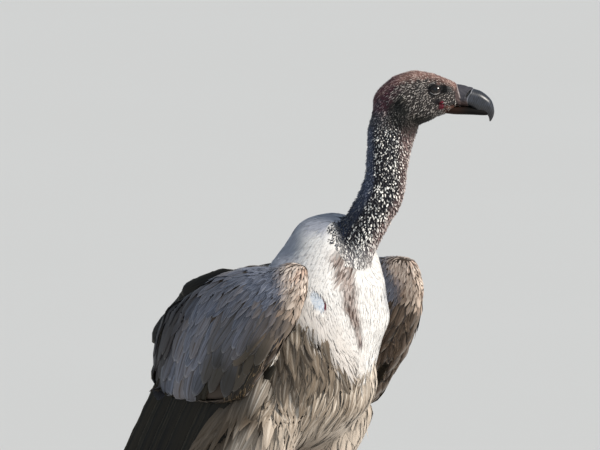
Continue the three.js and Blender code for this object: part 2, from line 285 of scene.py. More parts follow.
def loft(rings: Array) -> Shell:
    """A closed tube through rings, with both ends drawn to a point.

    Args:
        rings: an array of rings, around and xyz. They run anticlockwise seen from the far end.

    Returns:
        The tube, with a map of how far around and along each point lies.
    """
    count, around = rings.shape[:2]
    points = np.concatenate([rings.reshape(-1, 3), rings[0].mean(0)[None], rings[-1].mean(0)[None]])
    turn = np.arange(around)
    onward = (turn + 1) % around
    first = np.stack([onward, turn, np.full(around, count * around)], -1)
    last = np.stack([turn, onward, np.full(around, count * around + 1)], -1)
    last[:, :2] += (count - 1) * around
    share = np.stack(np.meshgrid(np.linspace(0, 1, count), turn / around, indexing="ij"), -1)
    ends = np.array([[0.0, 0.5], [1.0, 0.5]])
    share = np.concatenate([share.reshape(-1, 2), ends])[:, ::-1]
    return Shell(points, ring_quads(count, around), np.concatenate([first, last]), {VANE_MAP: share.copy()})


def mesh_of(name: str, shell: Shell) -> bpy.types.Mesh:
    """Makes a Blender mesh of a shell, with its maps, fields, shading and normals.

    Args:
        name: its name.
        shell: its points, faces, maps and fields.

    Returns:
        The mesh.
    """
    mesh = bpy.data.meshes.new(name)
    quads, tris = shell.quads, shell.tris
    corners = np.concatenate([quads.ravel(), tris.ravel()]).astype(np.int32)
    starts = np.concatenate([np.arange(len(quads)) * 4, 4 * len(quads) + np.arange(len(tris)) * 3])
    mesh.vertices.add(len(shell.points))
    mesh.vertices.foreach_set("co", to_scene(shell.points).astype(np.float32).ravel())
    mesh.loops.add(len(corners))
    mesh.loops.foreach_set("vertex_index", corners)
    mesh.polygons.add(len(starts))
    mesh.polygons.foreach_set("loop_start", starts.astype(np.int32))
    smooth = np.ones(len(starts), bool) if shell.crisp is None else ~shell.crisp
    mesh.polygons.foreach_set("use_smooth", smooth)
    for map_name, places in shell.maps.items():
        layer = mesh.uv_layers.new(name=map_name)
        layer.uv.foreach_set("vector", places[corners].astype(np.float32).ravel())
    for field_name, values in shell.fields.items():
        write_field(mesh, field_name, to_scene(values) if values.ndim == 2 else values)
    mesh.update(calc_edges=True)
    if shell.normals is not None:
        mesh.normals_split_custom_set_from_vertices(shell.normals.tolist())
    return mesh


def write_field(mesh: bpy.types.Mesh, name: str, values: Array) -> None:
    """Gives a mesh a number or a vector at each of its points, under a name.

    Args:
        mesh: the mesh.
        name: the field's name.
        values: a number or a vector for each point.
    """
    is_vector = values.ndim == 2
    layer = mesh.attributes.new(name, "FLOAT_VECTOR" if is_vector else "FLOAT", "POINT")
    layer.data.foreach_set("vector" if is_vector else "value", values.astype(np.float32).ravel())


def read(rows: bpy.types.bpy_prop_collection, name: str, width: int, kind: type = float) -> Array:
    """One property of all the rows of a mesh, with so many numbers in each.

    Args:
        rows: the mesh's points, edges, corners or triangles.
        name: the property.
        width: how many numbers each row has.
        kind: their type.

    Returns:
        One row for each.
    """
    values = np.zeros(len(rows) * width, kind)
    rows.foreach_get(name, values)
    return values.reshape(-1, width)


def triangles(mesh: bpy.types.Mesh) -> Array:
    """The corners of a mesh's triangles."""
    mesh.calc_loop_triangles()
    return read(mesh.loop_triangles, "vertices", 3, np.int32)


def link(name: str, content: bpy.types.ID) -> bpy.types.Object:
    """Puts a mesh, a light or a camera into the scene as an object.

    Args:
        name: its name.
        content: what the object shows.

    Returns:
        The object.
    """
    made = bpy.data.objects.new(name, content)
    bpy.context.scene.collection.objects.link(made)
    return made


def make_piece(name: str, shell: Shell, finish: bpy.types.Material,
               stands_for: Sequence[str] = ()) -> None:
    """Makes a Blender object of a shell and lets it ride on the bird.

    Args:
        name: the piece's name.
        shell: its mesh.
        finish: its material.
        stands_for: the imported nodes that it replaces.
    """
    mesh = mesh_of(name, shell)
    mesh.materials.append(finish)
    piece = link(name, mesh)
    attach(piece, "root")
    if stands_for:
        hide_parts(*stands_for)
    LOG.info("%s: %d triangles", name, 2 * len(shell.quads) + len(shell.tris))


# ---------------------------------------------------------------- shader writing


def paint(red: int, green: int, blue: int) -> Colour:
    """A screen colour, 0 to 255, as the linear colour that a shader takes."""
    linear = [((c / 255 + 0.055) / 1.055) ** 2.4 if c > 10 else c / 255 / 12.92 for c in (red, green, blue)]
    return (*linear, 1.0)


class Wire:
    """One socket's value in a shader, with arithmetic that adds the nodes it needs."""

    def __init__(self, recipe: "Recipe", socket: bpy.types.NodeSocket) -> None:
        """Keeps the recipe and the socket."""
        self.recipe = recipe
        self.socket = socket

    def _apply(self, operation: str, *values: "Wire | float | Sequence[float]") -> "Wire":
        """Adds a Math node, or a Vector Math node if this wire is a vector."""
        kind = "ShaderNodeVectorMath" if self.socket.type == "VECTOR" else "ShaderNodeMath"
        return self.recipe.node(kind, {"operation": operation}, dict(enumerate(values)))

    def __add__(self, other: "Wire | float") -> "Wire":
        """self + other"""
        return self._apply("ADD", self, other)

    def __sub__(self, other: "Wire | float") -> "Wire":
        """self - other"""
        return self._apply("SUBTRACT", self, other)

    def __rsub__(self, other: float) -> "Wire":
        """other - self"""
        return self._apply("SUBTRACT", other, self)

    def __mul__(self, other: "Wire | float") -> "Wire":
        """self * other"""
        return self._apply("MULTIPLY", self, other)

    def __truediv__(self, other: "Wire | float") -> "Wire":
        """self / other"""
        return self._apply("DIVIDE", self, other)

    def __pow__(self, other: float) -> "Wire":
        """self to the power other"""
        return self._apply("POWER", self, other)

    def __abs__(self) -> "Wire":
        """The value without its sign."""
        return self._apply("ABSOLUTE", self)

    __radd__ = __add__
    __rmul__ = __mul__

    def smallest(self, other: "Wire | float") -> "Wire":
        """The smaller of the two."""
        return self._apply("MINIMUM", self, other)

    def largest(self, other: "Wire | float") -> "Wire":
        """The larger of the two."""
        return self._apply("MAXIMUM", self, other)

    def sine(self) -> "Wire":
        """The value's sine."""
        return self._apply("SINE", self)

    def step(self, low: float, high: float) -> "Wire":
        """A smooth step from 0 at low to 1 at high, or down if low is above high.

        Args:
            low: where it is 0.
            high: where it is 1.

        Returns:
            The step's value.
        """
        falls = low > high
        ends = (high, low) if falls else (low, high)
        goal = (1.0, 0.0) if falls else (0.0, 1.0)
        return self.recipe.node("ShaderNodeMapRange", {"interpolation_type": "SMOOTHSTEP"},
                                {0: self, 1: ends[0], 2: ends[1], 3: goal[0], 4: goal[1]})

    def along(self, direction: Sequence[float]) -> "Wire":
        """The dot product of this vector with a fixed one."""
        return self.recipe.node("ShaderNodeVectorMath", {"operation": "DOT_PRODUCT"},
                                {0: self, 1: tuple(direction)}, output="Value")

    def stretched(self, factors: Sequence[float]) -> "Wire":
        """This vector with each of its three numbers multiplied."""
        return self._apply("MULTIPLY", self, tuple(factors))

    def parts(self) -> "tuple[Wire, Wire, Wire]":
        """The three numbers of this vector."""
        return tuple(self.recipe.node("ShaderNodeSeparateXYZ", {}, {0: self}, output=k) for k in range(3))


class Recipe:
    """A material while its nodes are written."""

    def __init__(self, name: str) -> None:
        """Starts an empty material with one Principled shader.

        Args:
            name: the material's name.
        """
        self.material = bpy.data.materials.new(name)
        self.material.use_nodes = True
        self.tree = self.material.node_tree
        self.shader = self.tree.nodes["Principled BSDF"]
        self.made: dict[str, Wire] = {}

    def node(self, kind: str, settings: dict[str, object], values: dict[int | str, object],
             output: int | str = 0) -> Wire:
        """Adds a node.

        Args:
            kind: the node's type.
            settings: what is set on the node itself, before its sockets.
            values: a wire or a plain value for each socket, by its number or name.
            output: which output to return.

        Returns:
            The output as a wire.
        """
        made = self.tree.nodes.new(kind)
        for name, value in settings.items():
            setattr(made, name, value)
        for name, value in values.items():
            if isinstance(value, Wire):
                self.tree.links.new(value.socket, made.inputs[name])
            elif value is not None:
                made.inputs[name].default_value = value
        return Wire(self, made.outputs[output])

    def once(self, key: str, make: Callable[[], Wire]) -> Wire:
        """A wire that is made the first time it is asked for.

        Args:
            key: what the wire is kept as.
            make: makes it.

        Returns:
            The wire.
        """
        if key not in self.made:
            self.made[key] = make()
        return self.made[key]

    def mesh_field(self, name: str, output: str = "Fac") -> Wire:
        """A number that the mesh carries, such as each feather's tone, or a vector."""
        return self.once(name, lambda: self.node("ShaderNodeAttribute", {"attribute_name": name}, {}, output))

    def vane(self) -> Wire:
        """The place on the feather or tube: across in X and along in Y, each 0 to 1."""
        return self.once("vane", lambda: self.node("ShaderNodeUVMap", {"uv_map": VANE_MAP}, {}))

    def root(self) -> Wire:
        """The root's place in millimetres in the bird's frame."""
        return self.once("root in the bird's frame", lambda: self.mesh_field("root", "Vector").stretched(
            (1 / MM,) * 3) - tuple(SHIFT))

    def head(self) -> tuple[Wire, Wire, Wire]:
        """How far the root lies ahead of, left of and above the middle between the eyes."""
        local = self.root() - tuple(HEAD_MIDDLE)
        return local.along(FORWARD), local.along(LEFTWARD), local.along(UPWARD)

    def packed_place(self) -> Wire:
        """The place itself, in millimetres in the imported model's frame."""
        return self.node("ShaderNodeTexCoord", {}, {}, "Object").stretched((1 / MM,) * 3)

    def place(self) -> Wire:
        """The place itself, in millimetres in the bird's frame."""
        return self.packed_place() - tuple(SHIFT)

    def near(self, middle: Sequence[float], reach: Sequence[float]) -> Wire:
        """How far the root lies from a place, as a share of a reach along each axis."""
        off = (self.root() - tuple(middle)).stretched([1 / one for one in reach])
        return self.node("ShaderNodeVectorMath", {"operation": "LENGTH"}, {0: off}, "Value")

    def tone(self) -> Wire:
        """Each feather's own random number, 0 to 1."""
        return self.mesh_field("tone")

    def noise(self, where: Wire, scale: float, detail: float = 3.0, roughness: float = 0.5) -> Wire:
        """A noise texture's value, 0 to 1."""
        return self.node("ShaderNodeTexNoise", {},
                         {"Vector": where, "Scale": scale, "Detail": detail, "Roughness": roughness})

    def ragged(self, scale: float, reach: float) -> Wire:
        """Smooth random values by the root's place, up to reach above and below 0."""
        return self.noise(self.root(), scale) * (2 * reach) - reach

    def cells(self, where: Wire, scale: float) -> Wire:
        """The distance from the edges of random cells."""
        return self.node("ShaderNodeTexVoronoi", {"feature": "DISTANCE_TO_EDGE"},
                         {"Vector": where, "Scale": scale})

    def mix(self, share: Wire | float, first: "Paint", second: "Paint") -> Wire:
        """Mixes two colours: the first where share is 0 and the second where it is 1."""
        return self.node("ShaderNodeMix", {"data_type": "RGBA"}, {0: share, 6: first, 7: second}, output=2)

    def bump(self, height: Wire, depth: float, strength: float = 1.0) -> Wire:
        """A surface normal that follows height, with depth in millimetres."""
        return self.node("ShaderNodeBump", {}, {"Strength": strength, "Distance": depth * MM,
                                               "Height": height})

    def close(self, colour: "Paint", roughness: Wire | float = 0.6, normal: Wire | None = None,
              **constants: float | Sequence[float]) -> bpy.types.Material:
        """Joins the colour, roughness and normal to the shader.

        Args:
            colour: a wire or a plain colour.
            roughness: a wire or a number.
            normal: a bumped normal, if any.
            constants: other shader sockets, with underscores for the spaces in their names.

        Returns:
            The finished material.
        """
        values = {"Base Color": colour, "Roughness": roughness, "Normal": normal}
        values.update({name.replace("_", " "): value for name, value in constants.items()})
        for name, value in values.items():
            if isinstance(value, Wire):
                self.tree.links.new(value.socket, self.shader.inputs[name])
            elif value is not None:
                self.shader.inputs[name].default_value = value
        return self.material


Paint = Wire | Colour
Place = Array | Wire
Marking = Callable[[Recipe, Wire], Wire]


# ---------------------------------------------------------------- surfaces and vanes


class Guide:
    """A surface that feathers root in and are combed along."""

    tries = 4  # places tried for each that fits at the spacing asked for

    def __init__(self, points: Array, tris: Array, places: Array, zones: Array) -> None:
        """Prepares the surface.

        Args:
            points: its points, in millimetres.
            tris: its triangles.
            places: each triangle's three places on the skin's unwrap.
            zones: the number of each triangle's zone.
        """
        self.points, self.tris, self.places, self.zones = points, tris, places, zones
        self.tree = BVHTree.FromPolygons(points.tolist(), tris.tolist(), all_triangles=True)
        self.areas = np.linalg.norm(tri_crosses(points, tris), axis=1) / 2
        self.middles = points[tris].mean(1)
        self.normals = point_normals(points, tris)

    def nearest(self, places: Array) -> tuple[Array, Array, Array]:
        """The nearest points of the surface, their smooth normals and their places on the unwrap.

        Args:
            places: places in the bird's frame, in millimetres.

        Returns:
            The points, the normals and the places on the unwrap.
        """
        found = [self.tree.find_nearest(place) for place in places.tolist()]
        points = np.array([hit[0] for hit in found])
        index = np.array([hit[2] for hit in found])
        weights = self._weights(points, index)[..., None]
        normals = unit((self.normals[self.tris[index]] * weights).sum(1))
        return points, normals, (self.places[index] * weights).sum(1)

    def _weights(self, points: Array, index: Array) -> Array:
        """How much each corner of the triangles counts at points on them.

        Args:
            points: places on the surface.
            index: each one's triangle.

        Returns:
            Three shares for each point.
        """
        a, b, c = (self.points[self.tris[index, k]] for k in range(3))
        ab, ac, ap = b - a, c - a, points - a
        d00, d01, d11 = dot(ab, ab), dot(ab, ac), dot(ac, ac)
        d20, d21 = dot(ap, ab), dot(ap, ac)
        under = np.maximum(d00 * d11 - d01 * d01, 1e-9)
        second = np.clip((d11 * d20 - d01 * d21) / under, 0, 1)
        third = np.clip((d00 * d21 - d01 * d20) / under, 0, 1)
        return np.stack([1 - second - third, second, third], -1)

    def within(self, *zones: "Zone") -> Array:
        """Which triangles lie in these zones."""
        return np.isin(self.zones, [zone.number for zone in zones])

    def scatter(self, spacing: Setting, keep: Array, seed: int) -> Array:
        """Picks places on the surface that lie about spacing apart.

        Args:
            spacing: how far apart, as a number or by place.
            keep: which triangles may be used.
            seed: seeds the random choice.

        Returns:
            The places.
        """
        rng = np.random.default_rng(seed)
        share = np.where(keep, self.areas / setting(spacing, self.middles) ** 2, 0.0)
        count = int(share.sum() * self.tries)
        chosen = np.sort(rng.choice(len(share), count, p=share / share.sum()))
        first, second = rng.random((2, count, 1))
        root = np.sqrt(first)
        a, b, c = (self.points[self.tris[chosen, k]] for k in range(3))
        places = (1 - root) * a + root * (1 - second) * b + root * second * c
        places = places[rng.permutation(count)]
        apart = setting(spacing, places) * np.ones(count)
        tree = KDTree(count)
        for index, place in enumerate(places.tolist()):
            tree.insert(place, index)
        tree.balance()
        free = np.ones(count, bool)
        kept = []
        for index, place in enumerate(places.tolist()):
            if free[index]:
                kept.append(index)
                free[[found[1] for found in tree.find_range(place, apart[index])]] = False
        return places[kept]


@dataclass(frozen=True)
class Vane:
    """The outline and section of one kind of feather, down or bristle."""

    rows: int = 5  # rings from the root to just before the tip
    columns: int = 3  # points across the upper face
    root: float = 0.35  # width at the root, as a share of the full width
    shoulder: float = 0.3  # where along it the full width is reached
    taper: float = 0.45  # where along it the narrowing starts
    bluntness: float = 1.5  # how long the narrowing holds off
    roundness: float = 1.0  # 2 gives an elliptic tip
    camber: float = 0.25  # rise of the middle, as a share of the half width
    thickness: float = 0.4  # millimetres in the middle
    ragged: float = 0.08  # how uneven the edges are
    belly: bool = True  # whether the under face has a middle of its own
    softness: float = 0.0  # how far it is shaded like the surface under it

    def stations(self) -> Array:
        """Where the rings and the tip lie, from 0 at the root to 1 at the tip, a little closer at the tip."""
        return np.linspace(0, 1, self.rows + 1) ** 0.9

    def outline(self, along: Array) -> Array:
        """The width at each place along, as a share of the full width.

        Args:
            along: places along the vane, 0 to 1.

        Returns:
            The widths.
        """
        rise = lerp(self.root, 1.0, ease(along, 0.0, self.shoulder))
        fall = np.clip((along - self.taper) / (1 - self.taper), 0, 1)
        return rise * np.maximum(1 - fall**self.bluntness, 0.0) ** (1 / self.roundness)

    def shell(self, line: Array, up: Array, width: Array, roots: Array, places: Array,
              rng: np.random.Generator, patches: "Patches | None" = None) -> Shell:
        """Builds one closed vane round each line.

        Args:
            line: for each vane its rows + 1 points from root to tip.
            up: the upper face's direction at each of them.
            width: each vane's full width.
            roots: each vane's root, for its markings.
            places: each root's place on the skin's unwrap.
            rng: the source of the uneven edges and tones.
            patches: how the baking map is laid out, if not by the roots' places.

        Returns:
            All the vanes in one shell.
        """
        count = len(line)
        along = self.stations()
        ahead = unit(np.gradient(line, axis=1))
        side = unit(np.cross(up, ahead))
        up = unit(np.cross(ahead, side))
        across = np.linspace(-1, 1, self.columns)
        under = across[-2:0:-1] if self.belly else across[:0]
        turn = np.concatenate([across, under])
        face = np.concatenate([np.ones(self.columns), -np.ones(len(under))])
        half = (width[:, None] / 2 * self.outline(along))[:, :-1, None]
        worn = 1 - self.ragged * rng.random((count, self.rows, 2))
        reach = np.where(turn < 0, worn[..., :1], worn[..., 1:]) * half
        rise = self.camber * half * (1 - turn**2)
        rise = rise + face * self.thickness / 2 * (1 - turn**2) * np.minimum(1.0, half / self.thickness)
        rings = (line[:, :-1, None] + side[:, :-1, None] * (turn * reach)[..., None]
                 + up[:, :-1, None] * rise[..., None])
        points = np.concatenate([rings.reshape(count, -1, 3), line[:, :1], line[:, -1:]], 1)
        quads, tris, crisp = self._faces(len(turn))
        size = points.shape[1]
        starts = (np.arange(count) * size)[:, None, None]
        spots = np.stack(np.meshgrid(along[:-1], (turn + 1) / 2, indexing="ij"), -1)[..., ::-1]
        spots = np.concatenate([spots.reshape(-1, 2), [[0.5, 0.0], [0.5, 1.0]]])
        if patches is None:
            bake = places[:, None] + BAKE_PATCH * (spots - 0.5)
        else:
            bake = patches.laid(spots, count)
        normals = None
        if self.softness:
            leaning = up[:, :-1, None] + side[:, :-1, None] * ((1 - self.softness) * turn)[:, None]
            normals = np.concatenate([leaning.reshape(count, -1, 3), up[:, :1], up[:, -1:]], 1)
            normals = unit(normals.reshape(-1, 3))
            crisp = None
        else:
            crisp = np.concatenate([np.tile(part, count) for part in np.split(crisp, [len(quads)])])
        return Shell(
            points.reshape(-1, 3),
            (quads[None] + starts).reshape(-1, 4),
            (tris[None] + starts).reshape(-1, 3),
            {VANE_MAP: np.tile(spots, (count, 1)), BAKE_MAP: bake.reshape(-1, 2)},
            {"root": np.repeat(roots, size, axis=0), "tone": np.repeat(rng.random(count), size)},
            crisp,
            normals,
        )

    def _faces(self, ring: int) -> tuple[Array, Array, Array]:
        """The quads and triangles of one vane with so many points in a ring, and which of all are crisp.

        Args:
            ring: how many points a ring has.

        Returns:
            The quads, the triangles, and whether each face is crisp.
        """
        quads = ring_quads(self.rows, ring)[:, [0, 3, 2, 1]]
        size = self.rows * ring + 2
        turns = np.arange(ring)
        onward = (turns + 1) % ring
        last = (self.rows - 1) * ring
        tris = np.concatenate([np.stack([turns, onward, np.full(ring, size - 2)], -1),
                               np.stack([last + onward, last + turns, np.full(ring, size - 1)], -1)])
        lower = turns >= self.columns - 1
        return quads, tris, np.concatenate([np.tile(lower, self.rows - 1), np.ones(ring, bool), lower])


@dataclass(frozen=True)
class Patches:
    """A baking map that gives each large feather a strip of its own."""

    columns: int
    rows: int
    margin: float = 0.06

    def laid(self, spots: Array, count: int) -> Array:
        """The places of all points of count vanes, each in its own strip.

        Args:
            spots: the places of one vane, 0 to 1.
            count: how many vanes.

        Returns:
            Their places on the map.
        """
        index = np.arange(count)
        corner = np.stack([index % self.columns, index // self.columns], -1)[:, None]
        inner = self.margin + (1 - 2 * self.margin) * spots
        return (corner + inner) / (self.columns, self.rows)


@dataclass(frozen=True)
class Growth:
    """How one stretch of plumage grows: sizes in millimetres, each a number or a field."""

    vane: Vane
    length: Setting
    width: Setting
    lie: Field
    root_lift: float = -0.6
    tip_lift: Setting = 4.0
    curl: float = 0.0  # how far the tip stands off, as a share of the length
    sway: float = 0.15  # random turn in the surface, in radians
    roll: float = 0.15  # random turn about its own length, in radians
    uneven: float = 0.15  # random change of size
    stiffness: float = 0.3  # how little it turns with the surface
    bend: float = 0.0  # random sideways bow, as a share of the length
    hang: float = 0.12  # how fast it turns down where it has left the surface
    far_share: float = 0.4  # it leaves a surface that is further off than this share of a step
    far: float = 1.0  # and so many millimetres
    sharp: float = 0.3  # or whose normal turns so far that its cosine falls below this

    def grown(self, guide: Guide, roots: Array, seed: int, patches: Patches | None = None) -> Shell:
        """Grows a vane at each root.

        Args:
            guide: the surface.
            roots: where the vanes start.
            seed: seeds the random variation.
            patches: how the baking map is laid out, if not by the roots' places.

        Returns:
            The vanes.
        """
        rng = np.random.default_rng(seed)
        count = len(roots)
        size = 1 + self.uneven * rng.uniform(-1, 1, count)
        length = setting(self.length, roots) * size
        width = setting(self.width, roots) * (1 + self.uneven * rng.uniform(-1, 1, count))
        turn = self.sway * rng.normal(size=count)[:, None]
        along = self.vane.stations()
        root, normal, unwrap = guide.nearest(roots)
        line, up = self._combed(guide, root, normal, length, turn)
        lift = lerp(self.root_lift, (setting(self.tip_lift, roots) * size)[:, None], along[None] ** 0.75)
        lift = lift + self.curl * length[:, None] * (along**2)[None] * rng.uniform(0.3, 1.7, (count, 1))
        ahead = unit(np.gradient(line, axis=1))
        side = unit(np.cross(up, ahead))
        bow = self.bend * length * rng.normal(size=count)
        line = line + up * lift[..., None] + side * (bow[:, None] * along**2)[..., None]
        tilt = (self.roll * rng.normal(size=count))[:, None, None]
        return self.vane.shell(line, unit(up + side * tilt), width, root, unwrap, rng, patches)

    def _combed(self, guide: Guide, place: Array, normal: Array, length: Array,
                turn: Array) -> tuple[Array, Array]:
        """Lines from the roots along the surface, or on through the air where it curves away.

        Args:
            guide: the surface.
            place: each vane's root.
            normal: the surface's normal there.
            length: each vane's length.
            turn: each vane's own sway.

        Returns:
            The points of the lines, and the surface's normals there.
        """
        def wished(at: Array, face: Array) -> Array:
            """The lie there, with each vane's own sway."""
            lie = along_surface(self.lie(at), face)
            return unit(lie + np.cross(face, lie) * turn)

        heading = wished(place, normal)
        line, up = [place], [normal]
        for share in np.diff(self.vane.stations()):
            step = (share * length)[:, None]
            guess = place + heading * step
            near, face, _ = guide.nearest(guess)
            off = np.linalg.norm(near - guess, axis=1, keepdims=True) > self.far_share * step + self.far
            off |= dot(face, normal)[:, None] < self.sharp
            place = np.where(off, guess, near)
            normal = np.where(off, normal, face)
            heading = unit(self.stiffness * heading + (1 - self.stiffness) * np.where(
                off, heading, wished(place, normal)))
            heading = np.where(off, unit(heading - UPWARD * self.hang), along_surface(heading, normal))
            line.append(place)
            up.append(normal)
        return np.stack(line, 1), unit(np.stack(up, 1))


# ---------------------------------------------------------------- the skin


class Zone(Enum):
    """A stretch of the body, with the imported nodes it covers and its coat's depth in millimetres."""

    HEAD = (("head", "eye_right", "eye_left"), 1.2)
    NECK = (("neck_upper", "neck_lower"), 1.2)
    RUFF = (("ruff",), 2.2)
    TRUNK = (("trunk",), 7.5)
    THIGHS = (("thigh_right", "thigh_left"), 9.0)
    RIGHT_WING = (("wing_coverts_right",), 5.0)
    LEFT_WING = (("wing_coverts_left",), 1.5)
    MANTLE = (("mantle",), 8.0)
    RUMP = (("tail_coverts",), 8.0)
    SHANKS = (("tarsus_right", "tarsus_left"), 0.3)
    FEET = (("foot_right", "foot_left"), 0.3)

    @property
    def nodes(self) -> tuple[str, ...]:
        """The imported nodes."""
        return self.value[0]

    @property
    def depth(self) -> float:
        """The coat's depth."""
        return self.value[1]

    @property
    def number(self) -> int:
        """The zone's place in the list of zones."""
        return list(Zone).index(self)


def node_mesh(name: str) -> tuple[Array, Array]:
    """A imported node's points, merged and in the bird's frame, and its triangles.

    Args:
        name: the node's name.

    Returns:
        The points and the triangles.
    """
    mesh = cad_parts[name].data
    points = read(mesh.vertices, "co", 3) / MM - SHIFT
    _, first, back = np.unique(np.round(points, 2), axis=0, return_index=True, return_inverse=True)
    tris = back.reshape(-1)[triangles(mesh)]
    whole = (tris[:, 0] != tris[:, 1]) & (tris[:, 1] != tris[:, 2]) & (tris[:, 2] != tris[:, 0])
    return points[first], tris[whole]


def point_normals(points: Array, tris: Array) -> Array:
    """Smooth normals of a mesh of triangles.

    Args:
        points: the mesh's points.
        tris: its triangles.

    Returns:
        A normal for each point.
    """
    cross = tri_crosses(points, tris)
    normals = np.zeros_like(points)
    for corner in range(3):
        np.add.at(normals, tris[:, corner], cross)
    return unit(normals)


class Net:
    """The edges of a mesh, for smoothing values over it."""

    inward = 0.5
    outward = 0.52

    def __init__(self, edges: Array, count: int) -> None:
        """Keeps the edges and how many each point has."""
        self.edges, self.count = edges, count
        self.degree = np.maximum(np.bincount(edges.ravel(), minlength=count), 1)

    def average(self, values: Array) -> Array:
        """Each point's neighbours' average.

        Args:
            values: a number or a vector for each point.

        Returns:
            The averages.
        """
        flat = values.reshape(self.count, -1)
        columns = [
            (np.bincount(self.edges[:, 0], column[self.edges[:, 1]], self.count)
             + np.bincount(self.edges[:, 1], column[self.edges[:, 0]], self.count)) / self.degree
            for column in flat.T
        ]
        return np.stack(columns, -1).reshape(values.shape)

    def smoothed(self, values: Array, rounds: int, keep_size: bool = False,
                 share: Array | float = 1.0) -> Array:
        """Values smoothed over the mesh, each moved half-way to its neighbours' average in a round.

        Args:
            values: one number or vector for each point.
            rounds: how often.
            keep_size: whether each round swells back what it shrank.
            share: how strongly each point takes part.

        Returns:
            The smoothed values.
        """
        for _ in range(rounds):
            values = values + self.inward * share * (self.average(values) - values)
            if keep_size:
                values = values - self.outward * share * (self.average(values) - values)
        return values

    def eased(self, points: Array, rounds: int, share: Array | float = 1.0) -> Array:
        """Points with their facets smoothed away, but not their size."""
        smooth = self.smoothed(points, rounds, False, share)
        return smooth + self.smoothed(points - smooth, rounds * 3)

    def pieces(self) -> Array:
        """A number for each point that is the same all over one connected piece.

        Returns:
            The numbers.
        """
        names = np.arange(self.count)
        while True:
            before = names.copy()
            np.minimum.at(names, self.edges[:, 0], before[self.edges[:, 1]])
            np.minimum.at(names, self.edges[:, 1], before[self.edges[:, 0]])
            names = names[names]
            if (names == before).all():
                return names


